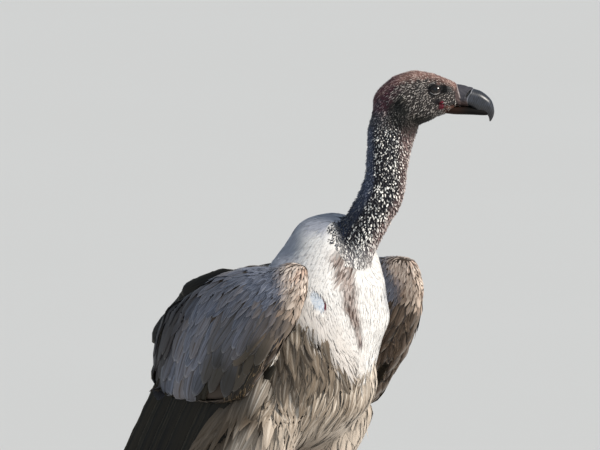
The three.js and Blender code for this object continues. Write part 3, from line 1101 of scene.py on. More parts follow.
@dataclass
class Skin:
    """The one smooth skin under the whole coat."""

    voxel: float = 3.3  # of the remesh
    grown: float = 0.6  # how far the solids are swollen into each other
    smoothing: int = 14  # rounds after the remesh
    thin: float = 60.0  # where the flesh is thinner than this, the coat
    thin_share: float = 0.32  # takes no more than this share of it
    lid_reach: tuple[float, float] = (7.4, 5.4)  # half the opening's length and height
    lid_radius: float = 9.9  # of the lids' outside
    lid_tilt: float = 0.10
    gape: tuple[tuple[float, float], ...] = ((4.0, -18.5), (16.0, -20.5), (36.0, -21.5))
    swellings: tuple[tuple[tuple[float, float, float], float, float], ...] = (  # middle, reach, height
        ((-42, -42, 580), 24, 5.0), ((-5, -79, 598), 18, 2.5), ((100, -48, 318), 46, 10.0),
        ((132, -82, 412), 42, 5.0), ((54, -107, 460), 26, 8.5), ((48, -90, 368), 30, 10.0),
        ((-57, -34, 558), 20, -4.5))

    def build(self) -> None:
        """Builds the skin, dresses it and keeps what the coat needs of it."""
        self.mesh = self._remeshed()
        self._refine(self._fine_share)
        self._refine(self._finest_share)
        self._read()
        net = Net(self.edges, len(self.points))
        ahead, _, height = head_place(self.points)
        fine = 0.25 + 0.75 * ease(ahead, -110, -80) * ease(height, -110, -70)
        self.points = net.smoothed(self.points, 30, True, fine[:, None])
        self._sink(net)
        self._shape_head()
        self._shape_feet()
        self._write()
        self._unwrap()
        self.mesh.materials.append(SkinFinish().material())
        skin = link("skin", self.mesh)
        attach(skin, "root")
        covered = [name for zone in Zone for name in zone.nodes if not name.startswith("eye")]
        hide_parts(*covered)
        LOG.info("skin: %d triangles", len(self.tris))

    def _remeshed(self) -> bpy.types.Mesh:
        """Copies of the flesh solids, grown into each other and remeshed as one.

        Returns:
            The mesh, without the pieces that lie inside it.
        """
        points, tris, start = [], [], 0
        self.zone_faces = []
        for zone in Zone:
            for name in zone.nodes:
                own_points, own_tris = node_mesh(name)
                grown = own_points + point_normals(own_points, own_tris) * self.grown
                points.append(grown)
                tris.append(own_tris + start)
                start += len(grown)
                self.zone_faces += [zone.number] * len(own_tris)
        self.solid_points, self.solid_tris = np.concatenate(points), np.concatenate(tris)
        source = bpy.data.meshes.new("flesh")
        source.from_pydata(self.solid_points.tolist(), [], self.solid_tris.tolist())
        body = link("flesh", source)
        remesh = body.modifiers.new("remesh", "REMESH")
        remesh.mode = "VOXEL"
        remesh.voxel_size = self.voxel
        bpy.context.view_layer.update()
        graph = bpy.context.evaluated_depsgraph_get()
        mesh = bpy.data.meshes.new_from_object(body.evaluated_get(graph))
        bpy.data.objects.remove(body)
        self.mesh = mesh
        self._read()
        net = Net(self.edges, len(self.points))
        names = net.pieces()
        largest = np.bincount(names).argmax()
        self.points = net.smoothed(self.points, self.smoothing, True)
        self.points = net.eased(self.points, 10, ease(self.points[:, 2], 100, 180)[:, None])
        self.points = net.smoothed(self.points, 60, False, self._melted(self.points)[:, None])
        kept = names == largest
        faces = read(mesh.loops, "vertex_index", 1, np.int32).reshape(-1, 4)
        faces = faces[kept[faces].all(1)]
        order = np.cumsum(kept) - 1
        whole = bpy.data.meshes.new("skin")
        whole.from_pydata(self.points[kept].tolist(), [], order[faces].tolist())
        return whole

    def _melted(self, points: Array) -> Array:
        """Where the body's parts melt into each other: the nape, and the tops of the thighs.

        Args:
            points: places in the bird's frame, in millimetres.

        Returns:
            How strongly each point is smoothed, 0 to 1.
        """
        ahead, _, height = head_place(points)
        nape = np.exp(-((ahead + 72) / 20) ** 2 - ((height + 42) / 22) ** 2) * 0.3
        thighs = np.exp(-((points[:, 2] - 318) / 46) ** 2) * (np.abs(points[:, 0]) < 112)
        return np.maximum(nape, thighs)

    def _read(self) -> None:
        """Reads the mesh's points, edges and triangles."""
        self.points = read(self.mesh.vertices, "co", 3)
        self.edges = read(self.mesh.edges, "vertices", 2, np.int32)
        self.tris = triangles(self.mesh)

    def _fine_share(self, middles: Array) -> Array:
        """Which edges are halved once: those of the head and the feet.

        Args:
            middles: the edges' middles.

        Returns:
            Which of them are chosen.
        """
        ahead, _, height = head_place(middles)
        head = (ahead > -100) & (height > -75)
        return head | (middles[:, 2] < 130)

    def _finest_share(self, middles: Array) -> Array:
        """Which edges are halved again: those round the eyes and the gape.

        Args:
            middles: the edges' middles.

        Returns:
            Which of them are chosen.
        """
        ahead, side, height = head_place(middles)
        eye = np.hypot(ahead, height) < 17
        gape = (ahead > -2) & (ahead < 40) & (np.abs(height + 20) < 8)
        return (eye | gape) & (np.abs(side) > 8)

    def _refine(self, chosen: Field) -> None:
        """Halves the chosen edges of the mesh.

        Args:
            chosen: picks edges by their middles.
        """
        rough = bmesh.new()
        rough.from_mesh(self.mesh)
        rough.edges.ensure_lookup_table()
        middles = np.array([tuple((edge.verts[0].co + edge.verts[1].co) / 2) for edge in rough.edges])
        picked = [edge for edge, take in zip(rough.edges, chosen(middles)) if take]
        bmesh.ops.subdivide_edges(rough, edges=picked, cuts=1, use_grid_fill=True)
        rough.to_mesh(self.mesh)
        rough.free()

    def _sink(self, net: Net) -> None:
        """Finds each point's zone and moves the skin in by the coat's depth.

        Args:
            net: the skin's edges.
        """
        tree = BVHTree.FromPolygons(self.solid_points.tolist(), self.solid_tris.tolist(),
                                    all_triangles=True)
        found = [tree.find_nearest(place)[2] for place in self.points.tolist()]
        self.zones = np.array(self.zone_faces)[found]
        depths = np.array([zone.depth for zone in Zone])[self.zones]
        crop = (self.zones == Zone.TRUNK.number) & (crop_edge(self.points) > -12) & (self.points[:, 1] < -5)
        depths = np.where(crop, Zone.RUFF.depth, depths)
        depths = net.smoothed(depths, 6) + self.grown
        normals = point_normals(self.points, self.tris)
        own = BVHTree.FromPolygons(self.points.tolist(), self.tris.tolist(), all_triangles=True)
        inward = -normals
        for index, (place, way) in enumerate(zip((self.points + inward * 0.2).tolist(), inward.tolist())):
            through = own.ray_cast(place, way, self.thin)[3]
            if through is not None:
                depths[index] = min(depths[index], self.thin_share * through)
        depths = net.smoothed(depths, 3) - self._fullness()
        self.points = self.points + inward * depths[:, None]
        self.points = net.smoothed(self.points, 2, True)
        self._flatten_wing(net)

    def _flatten_wing(self, net: Net) -> None:
        """Lowers the right wing's upper edge by a few millimetres.

        Args:
            net: the skin's edges.
        """
        right = net.smoothed((self.zones == Zone.RIGHT_WING.number).astype(float), 6)
        back = self.points[:, 1]
        top = np.interp(back, (-60, -25, 9, 41, 76), (548, 545, 536, 520, 494))
        flat = ease(self.points[:, 2] - top, -40, -6) * ease(back, -88, -55) * ease(back, 105, 75)
        self.points[:, 2] -= 8 * flat * right

    def _fullness(self) -> Array:
        """How far the nape, the neck's front, the shoulders and the belly stand out past the solids.

        Returns:
            How far each point is moved out, in millimetres.
        """
        ahead, _, height = head_place(self.points)
        fuller = 3.0 * ease(ahead, -62, -78) * np.exp(-((height + 50) / 34) ** 2)
        fuller += 4.5 * ease(ahead, -52, -34) * ease(ahead, 5, -8) * np.exp(-((height + 62) / 24) ** 2)
        fuller += 3.0 * ease(ahead, -64, -46) * np.exp(-((height + 143) / 22) ** 2)
        for middle, reach, most in self.swellings:
            fuller += most * np.exp(-(np.linalg.norm(self.points - middle, axis=1) / reach) ** 2)
        return fuller

    def _shape_head(self) -> None:
        """Forms the lids, the orbits, the brows, the gape and the folds of the head and neck."""
        ahead, side, height = head_place(self.points)
        normals = point_normals(self.points, self.tris)
        head = ease(ahead, -110, -80) * ease(height, -90, -60)
        folds = 0.14 * ripple(self.points * (1, 1, 2.2), 7.0, 3) * head
        neck = (self.zones == Zone.NECK.number)
        folds += 0.5 * neck * ripple(self.points * (0.5, 0.5, 2.6), 16.0, 4)
        brow = np.exp(-((height - 9.5 + 0.12 * ahead) / 2.6) ** 2 - ((ahead - 3) / 15) ** 2)
        bulge = 1.5 * brow * ease(np.abs(side), 8, 16)
        groove = self._from_gape(ahead, height)
        front = head > 0.5
        bulge -= 1.7 * np.exp(-(groove / 1.3) ** 2) * front
        bulge += 0.9 * np.exp(-((groove - 3.0) / 1.6) ** 2) * front * (np.abs(side) > 5)
        ear = np.hypot((ahead + 51) / 4.5, (height + 19) / 6.0)
        bulge += (-2.2 * np.exp(-ear**2 * 1.4) + 0.8 * np.exp(-((ear - 1.7) / 0.5) ** 2)) * front
        self.points = self.points + normals * (folds + bulge)[:, None]
        for sign in (-1, 1):
            self._shape_lids(sign)

    def _from_gape(self, ahead: Array, height: Array) -> Array:
        """How far points lie from the line of the gape, seen from the head's side.

        Args:
            ahead: how far ahead of the eyes they lie.
            height: how far above them.

        Returns:
            The distances.
        """
        distances = []
        for (a0, h0), (a1, h1) in zip(self.gape, self.gape[1:]):
            share = np.clip(((ahead - a0) * (a1 - a0) + (height - h0) * (h1 - h0))
                            / ((a1 - a0) ** 2 + (h1 - h0) ** 2), 0, 1)
            distances.append(np.hypot(ahead - lerp(a0, a1, share), height - lerp(h0, h1, share)))
        return np.min(distances, axis=0)

    def _shape_lids(self, sign: int) -> None:
        """Wraps the skin round one eyeball and opens it there.

        Args:
            sign: -1 for the right eye and 1 for the left.
        """
        ahead, side, height = head_place(self.points)
        outward = side * sign - EYE_SIDE
        reach = np.hypot(ahead, height)
        near = (side * sign > 6) & (reach < 15)
        almond = np.hypot(ahead / self.lid_reach[0], (height - self.lid_tilt * ahead) / self.lid_reach[1])
        orbit = outward - 1.5 * ease(reach, 14.5, 10.0)
        lid = np.sqrt(np.maximum(self.lid_radius**2 - reach**2, 0))
        closed = np.maximum(orbit, lid)
        opened = np.sqrt(np.maximum(EYE_RADIUS**2 - reach**2, 0)) - 3.0
        target = np.where(almond < 1, opened, closed)
        shift = np.where(near, target - outward, 0.0) * sign
        self.points = self.points + LEFTWARD * shift[:, None]

    def _shape_feet(self) -> None:
        """Raises rings of scales on the toes and the shanks."""
        normals = point_normals(self.points, self.tris)
        feet = np.isin(self.zones, (Zone.FEET.number, Zone.SHANKS.number))
        low = self.points[:, 2] < 26
        across = np.hypot(np.abs(self.points[:, 0]) - 60, self.points[:, 1] - 39.5)
        scales = np.where(low, np.abs(np.sin(across * math.pi / 6.2)),
                          np.abs(np.sin(self.points[:, 2] * math.pi / 7.0)))
        upper = np.where(low, ease(normals[:, 2], -0.2, 0.4), ease(-normals[:, 1], -0.4, 0.3))
        rise = 0.6 * (scales**0.5 - 0.6) * upper * feet * (self.points[:, 2] > 4)
        self.points = self.points + normals * rise[:, None]
        self.points[:, 2] = np.maximum(self.points[:, 2], 0.0)

    def _write(self) -> None:
        """Writes the points back, with the fields that the finish reads."""
        self.mesh.vertices.foreach_set("co", to_scene(self.points).astype(np.float32).ravel())
        write_field(self.mesh, "root", to_scene(self.points))
        plumage = (Zone.RIGHT_WING.number, Zone.LEFT_WING.number, Zone.MANTLE.number)
        write_field(self.mesh, "plumage", np.isin(self.zones, plumage))
        self.mesh.shade_smooth()
        self.mesh.update()

    def _unwrap(self) -> None:
        """Unwraps the skin by its own shape, for its own colours and its coat's."""
        piece = link("unwrapping", self.mesh)
        bpy.context.view_layer.objects.active = piece
        piece.select_set(True)
        self.mesh.uv_layers.new(name=BAKE_MAP)
        bpy.ops.object.mode_set(mode="EDIT")
        bpy.ops.mesh.select_all(action="SELECT")
        bpy.ops.uv.smart_project(angle_limit=math.radians(66), island_margin=0.002)
        bpy.ops.object.mode_set(mode="OBJECT")
        bpy.data.objects.remove(piece)
        self.tris = triangles(self.mesh)
        self.places = read(self.mesh.uv_layers[BAKE_MAP].uv, "vector", 2)[
            read(self.mesh.loop_triangles, "loops", 3, np.int32)]

    def guide(self, *zones: Zone) -> Guide:
        """The skin of some zones as a surface for feathers."""
        kept = np.isin(self.zones, [zone.number for zone in zones])[self.tris].any(1)
        return Guide(self.points, self.tris[kept], self.places[kept], self.zones[self.tris[kept, 0]])


# ---------------------------------------------------------------- finishes

WHITE_DOWN = paint(240, 237, 233)
CREAM = paint(226, 211, 191)


def crown_share(recipe: Recipe) -> Wire:
    """How much of the pinkish cap shows: 1 on the crown, 0 on the cheeks.

    Args:
        recipe: the material.

    Returns:
        The share, 0 to 1.
    """
    ahead, _, height = recipe.head()
    top = 22.0 - (ahead + 18) * (ahead + 18) * 0.0078
    ragged = recipe.noise(recipe.root(), 0.16) * 14
    return (height - top + ragged).step(-6.0, 5.0)


def nape_share(recipe: Recipe) -> Wire:
    """How much of the reddish-purple stain on the nape shows.

    Args:
        recipe: the material.

    Returns:
        The share, 0 to 1.
    """
    ahead, _, height = recipe.head()
    ragged = recipe.noise(recipe.root(), 0.12) * 30
    return (ahead - height * 0.3 + ragged).step(-26.0, -46.0) * (height + ragged).step(-26.0, -4.0)


def mask_share(recipe: Recipe) -> Wire:
    """How black it is round the eye and on the lores.

    Args:
        recipe: the material.

    Returns:
        The share, 0 to 1.
    """
    ahead, _, height = recipe.head()
    low = height - 1.6 + ahead * 0.1
    ragged = recipe.noise(recipe.root(), 0.35) * 0.5
    return (low * low / 34 + (ahead - 7) * (ahead - 7) / 260 + ragged).step(1.5, 0.8)


def spot_share(recipe: Recipe, ahead0: float, height0: float, size: float) -> Wire:
    """A ragged spot on the head's right side, taller than it is wide.

    Args:
        recipe: the material.
        ahead0: how far ahead of the eyes the spot's middle lies.
        height0: how far above them.
        size: its rough radius.

    Returns:
        The share, 0 to 1.
    """
    ahead, side, height = recipe.head()
    wide, tall = ahead - ahead0, (height - height0) * 0.72
    ragged = recipe.noise(recipe.root(), 0.55) * size * 1.9
    reach = (wide * wide + tall * tall) ** 0.5 + ragged - size * 0.95
    return reach.step(size, size * 0.6) * side.step(-4.0, -10.0)


def ear_share(recipe: Recipe) -> Wire:
    """How dark it is over the ear.

    Args:
        recipe: the material.

    Returns:
        The share, 0 to 1.
    """
    ahead, _, height = recipe.head()
    wide, tall = (ahead + 47) / 14.0, (height + 28) / 21.0
    ragged = recipe.noise(recipe.root(), 0.3) * 0.8
    return (wide * wide + tall * tall + ragged).step(1.9, 0.6)


def hood_colour(recipe: Recipe, bright: float) -> Wire:
    """The colour of the head and neck by place, with painted shade: bluish towards the back and near black
    under the jaw.

    Args:
        recipe: the material.
        bright: 0 for the bare skin, 1 for the bristles' paler tips.

    Returns:
        The colour.
    """
    def tone(skin: tuple[int, int, int], hair: tuple[int, int, int]) -> Colour:
        """The colour between those of the skin and the hair."""
        return tuple(float(lerp(a, b, bright)) for a, b in zip(paint(*skin), paint(*hair)))

    ahead, _, height = recipe.head()
    root = recipe.root()
    patchy = recipe.noise(root, 0.16).step(0.35, 0.65)
    colour = recipe.mix(patchy, tone((32, 30, 30), (168, 160, 154)), tone((50, 44, 42), (206, 198, 190)))
    pale = recipe.noise(root, 0.2).step(0.4, 0.6) * ahead.step(-30.0, -40.0) * ahead.step(-48.0, -40.0)
    pale *= height.step(-34.0, -24.0) * height.step(-2.0, -12.0)
    colour = recipe.mix(pale * 0.6, colour, tone((90, 84, 74), (212, 204, 186)))
    # painted shade: bluish towards the back of the head and neck, which faces away from the key light
    colour = recipe.mix(ahead.step(-52.0, -84.0) * 0.7, colour, tone((50, 52, 62), (112, 116, 130)))
    # painted shade: near black under the jaw
    jaw_shade = height.step(-28.0, -38.0) * ahead.step(-62.0, -44.0) * ahead.step(14.0, -8.0)
    colour = recipe.mix(jaw_shade * 0.95, colour, tone((14, 12, 9), (34, 30, 22)))
    cap = crown_share(recipe) * (recipe.noise(root, 0.3).step(0.25, 0.55) * 0.4 + 0.6)
    colour = recipe.mix(cap, colour, tone((122, 92, 84), (216, 190, 178)))
    stain = nape_share(recipe) * (recipe.noise(root, 0.25).step(0.35, 0.62) * 0.65 + 0.25)
    colour = recipe.mix(stain, colour, tone((72, 38, 46), (140, 104, 110)))
    colour = recipe.mix(ear_share(recipe) * 0.95, colour, tone((15, 16, 15), (34, 36, 34)))
    gape = recipe.noise(root, 0.3).step(0.4, 0.6) * ahead.step(6.0, 16.0) * height.step(-18.0, -22.0)
    colour = recipe.mix(gape * 0.6, colour, tone((92, 54, 38), (120, 80, 58)))
    colour = recipe.mix(mask_share(recipe), colour, tone((7, 6, 7), (20, 18, 18)))
    blood = recipe.mix(recipe.noise(root, 0.5).step(0.4, 0.6), paint(112, 12, 38), paint(60, 8, 24))
    colour = recipe.mix(spot_share(recipe, 7.6, -19.6, 4.4), colour, blood)
    return recipe.mix(spot_share(recipe, 3.0, -14.2, 4.0), colour, paint(14, 9, 13))


def streak_share(recipe: Recipe) -> Wire:
    """How much of the brown line down the middle of the crop shows.

    Args:
        recipe: the material.

    Returns:
        The share, 0 to 1.
    """
    across, depth, height = recipe.root().parts()
    middle = (height - 443).smallest(52.0) * -0.52 - 3
    ragged = recipe.ragged(0.06, 5.0)
    broken = recipe.noise(recipe.root(), 0.09).step(0.3, 0.55) * 0.3 + 0.7
    narrow = height.step(500.0, 446.0) * 8
    line = (abs(across - middle) + ragged + narrow).step(22.0, 9.0) * height.step(430.0, 444.0)
    return line * height.step(566.0, 550.0) * depth.step(-60.0, -80.0) * broken


def above_crop(across: Place, height: Place) -> Place:
    """How far above the white crop's lower edge places lie: it drops lower on the bird's left."""
    return height - 384 - abs(across + 8) * 0.8 + (across + 8) * 0.25


def crop_share(recipe: Recipe) -> Wire:
    """Where the crop and the ruff are white: 1 inside, 0 outside.

    Args:
        recipe: the material.

    Returns:
        The share, 0 to 1.
    """
    across, _, height = recipe.root().parts()
    ragged = recipe.ragged(0.05, 8.0)
    return (above_crop(across, height) + ragged).step(-8.0, 6.0)


def bare_place(recipe: Recipe) -> tuple[Wire, Wire, Wire]:
    """How far the root lies down and across the bare spot, and from its middle, in its own reaches.

    Args:
        recipe: the material.

    Returns:
        The three distances.
    """
    off = recipe.root() - tuple(BARE_MIDDLE)
    down, across = off.along(BARE_LONG) / BARE_REACH[0], off.along(BARE_WIDE) / BARE_REACH[1]
    return down, across, (down * down + across * across) ** 0.5


def bare_marking(recipe: Recipe, colour: Wire) -> Wire:
    """The bluish bare spot beside the crop, with a dark red line along its front edge.

    Args:
        recipe: the material.
        colour: the colour under the marking.

    Returns:
        The marked colour.
    """
    down, across, reach = bare_place(recipe)
    veins = recipe.cells(recipe.root(), 0.22).step(0.1, 0.0)
    blue = recipe.mix(veins * 0.6, paint(208, 214, 221), paint(146, 166, 190))
    colour = recipe.mix(reach.step(1.2, 0.7), colour, blue)
    line = abs(reach - 1.0).step(0.2, 0.08) * across.step(0.0, 0.4) * (down.step(-0.7, 0.5) * 0.8 + 0.2)
    spot = recipe.near(BARE_MIDDLE - 14 * BARE_LONG, (2.2, 2.2, 2.2)).step(1.2, 0.5)
    return recipe.mix(line.largest(spot * 0.8), colour, paint(88, 26, 42))


def neck_front(recipe: Recipe) -> Wire:
    """1 along the front of the neck, 0 on its sides and -1 along its back.

    Args:
        recipe: the material.

    Returns:
        The value, which goes a little past 1 and -1.
    """
    ahead, _, _ = recipe.head()
    _, _, height = recipe.root().parts()
    return (ahead + 60 + height.step(650.0, 540.0) * 46) / 27.0


@dataclass(frozen=True)
class SkinFinish:
    """The bare skin: dark on the head and neck, scaled on the legs, pale under the plumage."""

    name: str = "vulture skin"

    def material(self) -> bpy.types.Material:
        """Writes the material.

        Returns:
            The material.
        """
        recipe = Recipe(self.name)
        root = recipe.root()
        _, _, height = root.parts()
        body = recipe.mix(crop_share(recipe), paint(112, 98, 84), paint(236, 231, 225))
        body = recipe.mix(streak_share(recipe) * 0.7, body, paint(120, 102, 94))
        body = bare_marking(recipe, body)
        body = recipe.mix(recipe.mesh_field("plumage"), body, paint(72, 62, 54))
        front = neck_front(recipe)
        neck = recipe.mix(recipe.noise(root, 0.1), paint(18, 19, 25), paint(36, 35, 41))
        neck = recipe.mix(front.step(0.3, 0.8) * 0.8, neck, paint(84, 66, 64))
        # painted shade: bluish on the back of the neck, which faces away from the key light
        neck = recipe.mix(front.step(-0.6, -0.9) * 0.7, neck, paint(70, 78, 98))
        neck = recipe.mix(height.step(572.0, 545.0) * 0.7, neck, paint(150, 146, 150))
        hood = recipe.mix(height.step(700.0, 722.0), neck, hood_colour(recipe, 0.0))
        cells = recipe.cells(root, 0.28)
        fine = recipe.noise(root, 1.2, 4)
        scaled = recipe.mix(cells.step(0.0, 0.12), paint(44, 43, 44), paint(98, 96, 96))
        scaled = recipe.mix(fine * 0.5, scaled, paint(70, 66, 62))
        legs = height.step(136.0, 112.0)
        in_neck = recipe.near((2.0, -119.0, 0.0), (1.0, 1.0, 1e6)) - (height - 600) * 0.2
        hooded = height.step(520.0, 552.0) * in_neck.step(51.0, 40.0)
        hooded = hooded.largest(height.step(640.0, 650.0))
        colour = recipe.mix(hooded, body, hood)
        colour = recipe.mix(legs, colour, scaled)
        relief = fine * 0.5 + cells.step(0.0, 0.2) * legs * 1.5
        wet = mask_share(recipe) * height.step(700.0, 716.0)
        return recipe.close(colour, 0.66 - wet * 0.2, recipe.bump(relief, 0.35, 0.8),
                            Specular_IOR_Level=0.2)


@dataclass(frozen=True)
class FeatherFinish:
    """A kind of feather: its ground, its paler edge, its shaft, its streaks, and painted shade towards its
    root.
    """

    name: str
    light: Colour
    dark: Colour
    edge: Colour
    shaft: Colour
    edge_share: float = 0.5
    edge_width: float = 0.3
    shaft_share: float = 0.5
    shaft_width: float = 0.12
    streaks: float = 0.5
    # painted shade: how far each feather darkens towards its root, where it lies under the ones above
    root_shade: float = 0.35
    roughness: float = 0.62
    barbs: float = 0.4
    sheen: float = 0.1
    glow: float = 0.0
    marking: Marking | None = None

    def material(self) -> bpy.types.Material:
        """Writes the material.

        Returns:
            The material.
        """
        recipe = Recipe(self.name)
        across, along, _ = recipe.vane().parts()
        tone = recipe.tone()
        off = abs(across - 0.5) * 2
        seed = recipe.node("ShaderNodeCombineXYZ", {}, {0: across * 9, 1: along * 1.6, 2: tone * 90})
        streak = recipe.noise(seed, 1.0, 3, 0.6)
        colour = recipe.mix((streak.step(0.35, 0.65) * self.streaks + tone * (1 - self.streaks)),
                            self.dark, self.light)
        # painted shade: darker towards the root, where the feather lies under the ones above it
        colour = recipe.mix(along.step(0.55, 0.0) * self.root_shade, colour, self.dark)
        edge = (off.step(1 - self.edge_width, 1.0)).largest(along.step(0.9, 1.0))
        colour = recipe.mix(edge * self.edge_share * (tone * 0.6 + 0.6), colour, self.edge)
        shaft = off.step(self.shaft_width, self.shaft_width * 0.3) * along.step(1.0, 0.7)
        colour = recipe.mix(shaft * self.shaft_share * (tone * 0.6 + 0.6), colour, self.shaft)
        if self.marking:
            colour = self.marking(recipe, colour)
        barbs = (along * 60 + off * 12).sine() * 0.4 + streak
        return recipe.close(colour, self.roughness, recipe.bump(barbs, 0.25, self.barbs),
                            Specular_IOR_Level=0.25, Sheen_Weight=self.sheen, Sheen_Roughness=0.5,
                            Subsurface_Weight=self.glow, Subsurface_Scale=4 * MM,
                            Subsurface_Radius=(1.0, 0.9, 0.85))


def crop_marking(recipe: Recipe, colour: Wire) -> Wire:
    """White down with the brown line, a grey smudge and a dark tuft at its lower end, and painted bluish-grey
    shade over the top and back of the ruff, greyest at the roots behind.

    Args:
        recipe: the material.
        colour: the colour under the marking.

    Returns:
        The marked colour.
    """
    across, depth, height = recipe.root().parts()
    _, along, _ = recipe.vane().parts()
    tone = recipe.tone()
    buff = recipe.mix(tone, paint(140, 122, 102), paint(200, 184, 164))
    colour = recipe.mix(crop_share(recipe), buff, colour)
    # painted shade: bluish grey over the top and back of the ruff, which face away from the key light
    shade = recipe.noise(recipe.root(), 0.03) * 30
    shade = (depth + shade).step(-60.0, -20.0).largest((height + shade * 0.3).step(576.0, 596.0))
    shade *= depth.step(4.0, -26.0) * 0.6 + 0.05
    colour = recipe.mix(shade, colour, paint(132, 140, 164))
    # painted shade: grey at the roots of the down on the back of the ruff
    colour = recipe.mix(along.step(0.7, 0.1) * depth.step(-34.0, -10.0) * 0.45, colour, paint(146, 142, 142))
    above = above_crop(across, height)
    colour = recipe.mix(above.step(75.0, 0.0) * across.step(30.0, -10.0) * 0.4, colour, paint(190, 170, 152))
    streak = recipe.mix(tone.step(0.1, 0.9), paint(70, 54, 47), paint(172, 154, 145))
    colour = recipe.mix(streak_share(recipe), colour, streak)
    dash = recipe.near((0.5, -113.0, 445.0), (2.0, 30.0, 7.0)).step(1.2, 0.7)
    colour = recipe.mix(dash * 0.7, colour, paint(70, 48, 52))
    near = recipe.near((55.0, -108.0, 495.0), (12, 16, 20)) + recipe.ragged(0.06, 0.6)
    colour = recipe.mix(near.step(1.4, 0.2) * 0.5, colour, paint(150, 152, 162))
    colour = bare_marking(recipe, colour)
    near = recipe.near((-17.0, -106.0, 402.0), (1.0, 2.5, 1.9))
    grey = recipe.mix(along.step(0.2, 0.8), paint(158, 150, 144), paint(66, 60, 56))
    return recipe.mix(near.step(17.0, 7.0) * tone.step(0.2, 0.6) * 0.85, colour, grey)


def hood_marking(recipe: Recipe, colour: Wire) -> Wire:
    """Bristles coloured by their place on the head, some dark and some pale, paler to their tips.

    Args:
        recipe: the material.
        colour: not used: the bristles have their own.

    Returns:
        The marked colour.
    """
    _, along, _ = recipe.vane().parts()
    pale = recipe.tone().step(0.3, 0.6) * along.step(-0.2, 0.5)
    return recipe.mix(pale, hood_colour(recipe, 0.05), hood_colour(recipe, 1.0))


def neck_marking(recipe: Recipe, colour: Wire) -> Wire:
    """White flecks, smaller and mauve-brown in front, with painted bluish shade behind, and darker under the
    head.

    Args:
        recipe: the material.
        colour: not used: the flecks have their own.

    Returns:
        The marked colour.
    """
    ahead, _, _ = recipe.head()
    _, _, height = recipe.root().parts()
    tone = recipe.tone()
    front = neck_front(recipe)
    fleck = recipe.mix(tone.step(0.1, 0.8), paint(70, 68, 70), paint(248, 244, 236))
    fleck = recipe.mix(front.step(0.3, 0.8) * (1 - tone * 0.5), fleck, paint(150, 128, 124))
    # painted shade: bluish behind, where the neck faces away from the key light
    behind = recipe.mix(height.step(590.0, 650.0), paint(40, 43, 54), paint(98, 106, 130))
    fleck = recipe.mix(front.step(-0.55, -0.85) * 0.85, fleck, behind)
    ragged = recipe.ragged(0.12, 8.0) + ahead.step(-52.0, -34.0) * 12
    base = recipe.mix(tone, paint(112, 107, 110), WHITE_DOWN)
    fleck = recipe.mix(height.step(574.0, 546.0) * 0.7, fleck, base)
    return recipe.mix((height + ragged).step(710.0, 722.0) * 0.93, fleck, hood_colour(recipe, 0.5))


def fuzz_marking(recipe: Recipe, colour: Wire) -> Wire:
    """Dark fuzz, mauve-brown in front, with painted bluish shade behind, and pale at the neck's base.

    Args:
        recipe: the material.
        colour: not used: the fuzz has its own.

    Returns:
        The marked colour.
    """
    _, _, height = recipe.root().parts()
    tone = recipe.tone()
    front = neck_front(recipe)
    fuzz = recipe.mix(tone, paint(17, 18, 24), paint(56, 55, 62))
    mauve = recipe.mix(tone, paint(66, 52, 50), paint(146, 126, 122))
    fuzz = recipe.mix(front.step(0.3, 0.8) * 0.85, fuzz, mauve)
    # painted shade: bluish behind, where the neck faces away from the key light
    bluish = front.step(-0.6, -0.9) * height.step(590.0, 650.0) * 0.85
    fuzz = recipe.mix(bluish, fuzz, recipe.mix(tone, paint(50, 57, 76), paint(118, 126, 148)))
    fuzz = recipe.mix(height.step(710.0, 724.0), fuzz, hood_colour(recipe, 0.3))
    pale = recipe.mix(tone, paint(128, 124, 128), paint(224, 220, 216))
    return recipe.mix(height.step(572.0, 548.0) * 0.85, fuzz, pale)


def belly_marking(recipe: Recipe, colour: Wire) -> Wire:
    """Grey-brown on the breast and, partly as painted shade, darker brown under the wrists; creamier low on
    the belly and thighs; painted shade towards the back, under the wings, in the crease between the thighs
    and at the feathers' roots; a little darker lower down.

    Args:
        recipe: the material.
        colour: the colour under the marking.

    Returns:
        The marked colour.
    """
    root = recipe.root()
    across, depth, height = root.parts()
    _, along, _ = recipe.vane().parts()
    patchy = recipe.noise(root, 0.022) * 1.2 + recipe.tone() * 0.5 - 0.6
    # partly painted shade: the breast under the wrist is a darker brown, its own colour and the wing's shadow
    # together
    brown = recipe.near((-64.0, -78.0, 438.0), (50, 60, 44)).step(1.35, 0.6)
    left = across.step(5.0, 45.0) * 0.45
    cream = (height.step(400.0, 340.0) * 0.36 + left + patchy * 0.5).smallest(1.0) * (1 - brown * 0.9)
    colour = recipe.mix(cream.largest(0.0), colour, paint(226, 212, 196))
    shaded_brown = recipe.mix(recipe.tone(), paint(50, 42, 34), paint(122, 107, 90))
    colour = recipe.mix(brown * 0.85, colour, shaded_brown)
    # painted shade: darker towards the back, which faces away from the key light
    colour = recipe.mix(depth.step(-5.0, 40.0) * 0.5, colour, paint(86, 77, 68))
    ragged = recipe.ragged(0.04, 12.0)
    across, depth, height = recipe.place().parts()
    # painted shadow of the wing: dark brown on the flanks under the wings
    tone = recipe.mix(recipe.tone(), paint(26, 23, 19), paint(74, 66, 57))
    wing_shadow = (abs(across) + ragged * 0.3).step(102.0, 112.0) * (depth + ragged * 0.7).step(-42.0, -16.0)
    wing_shadow *= (height + depth.largest(0.0) * 1.6).step(316.0, 336.0)
    colour = recipe.mix(wing_shadow * 0.9, colour, tone)
    # painted shade in the crease between the belly and the thighs, with some brownish staining
    between = (abs(across - 6) + ragged).step(62.0, 24.0) * (height + ragged).step(318.0, 292.0)
    colour = recipe.mix(between * 0.6, colour, paint(84, 69, 53))
    colour = recipe.mix((height + ragged).step(372.0, 336.0) * 0.34, colour, paint(116, 97, 76))
    # painted shade: darker towards the roots, where the feathers lie under the ones above
    return recipe.mix(along.step(0.35, 0.0) * 0.3, colour, paint(92, 80, 66))


# ---------------------------------------------------------------- horn and eyes


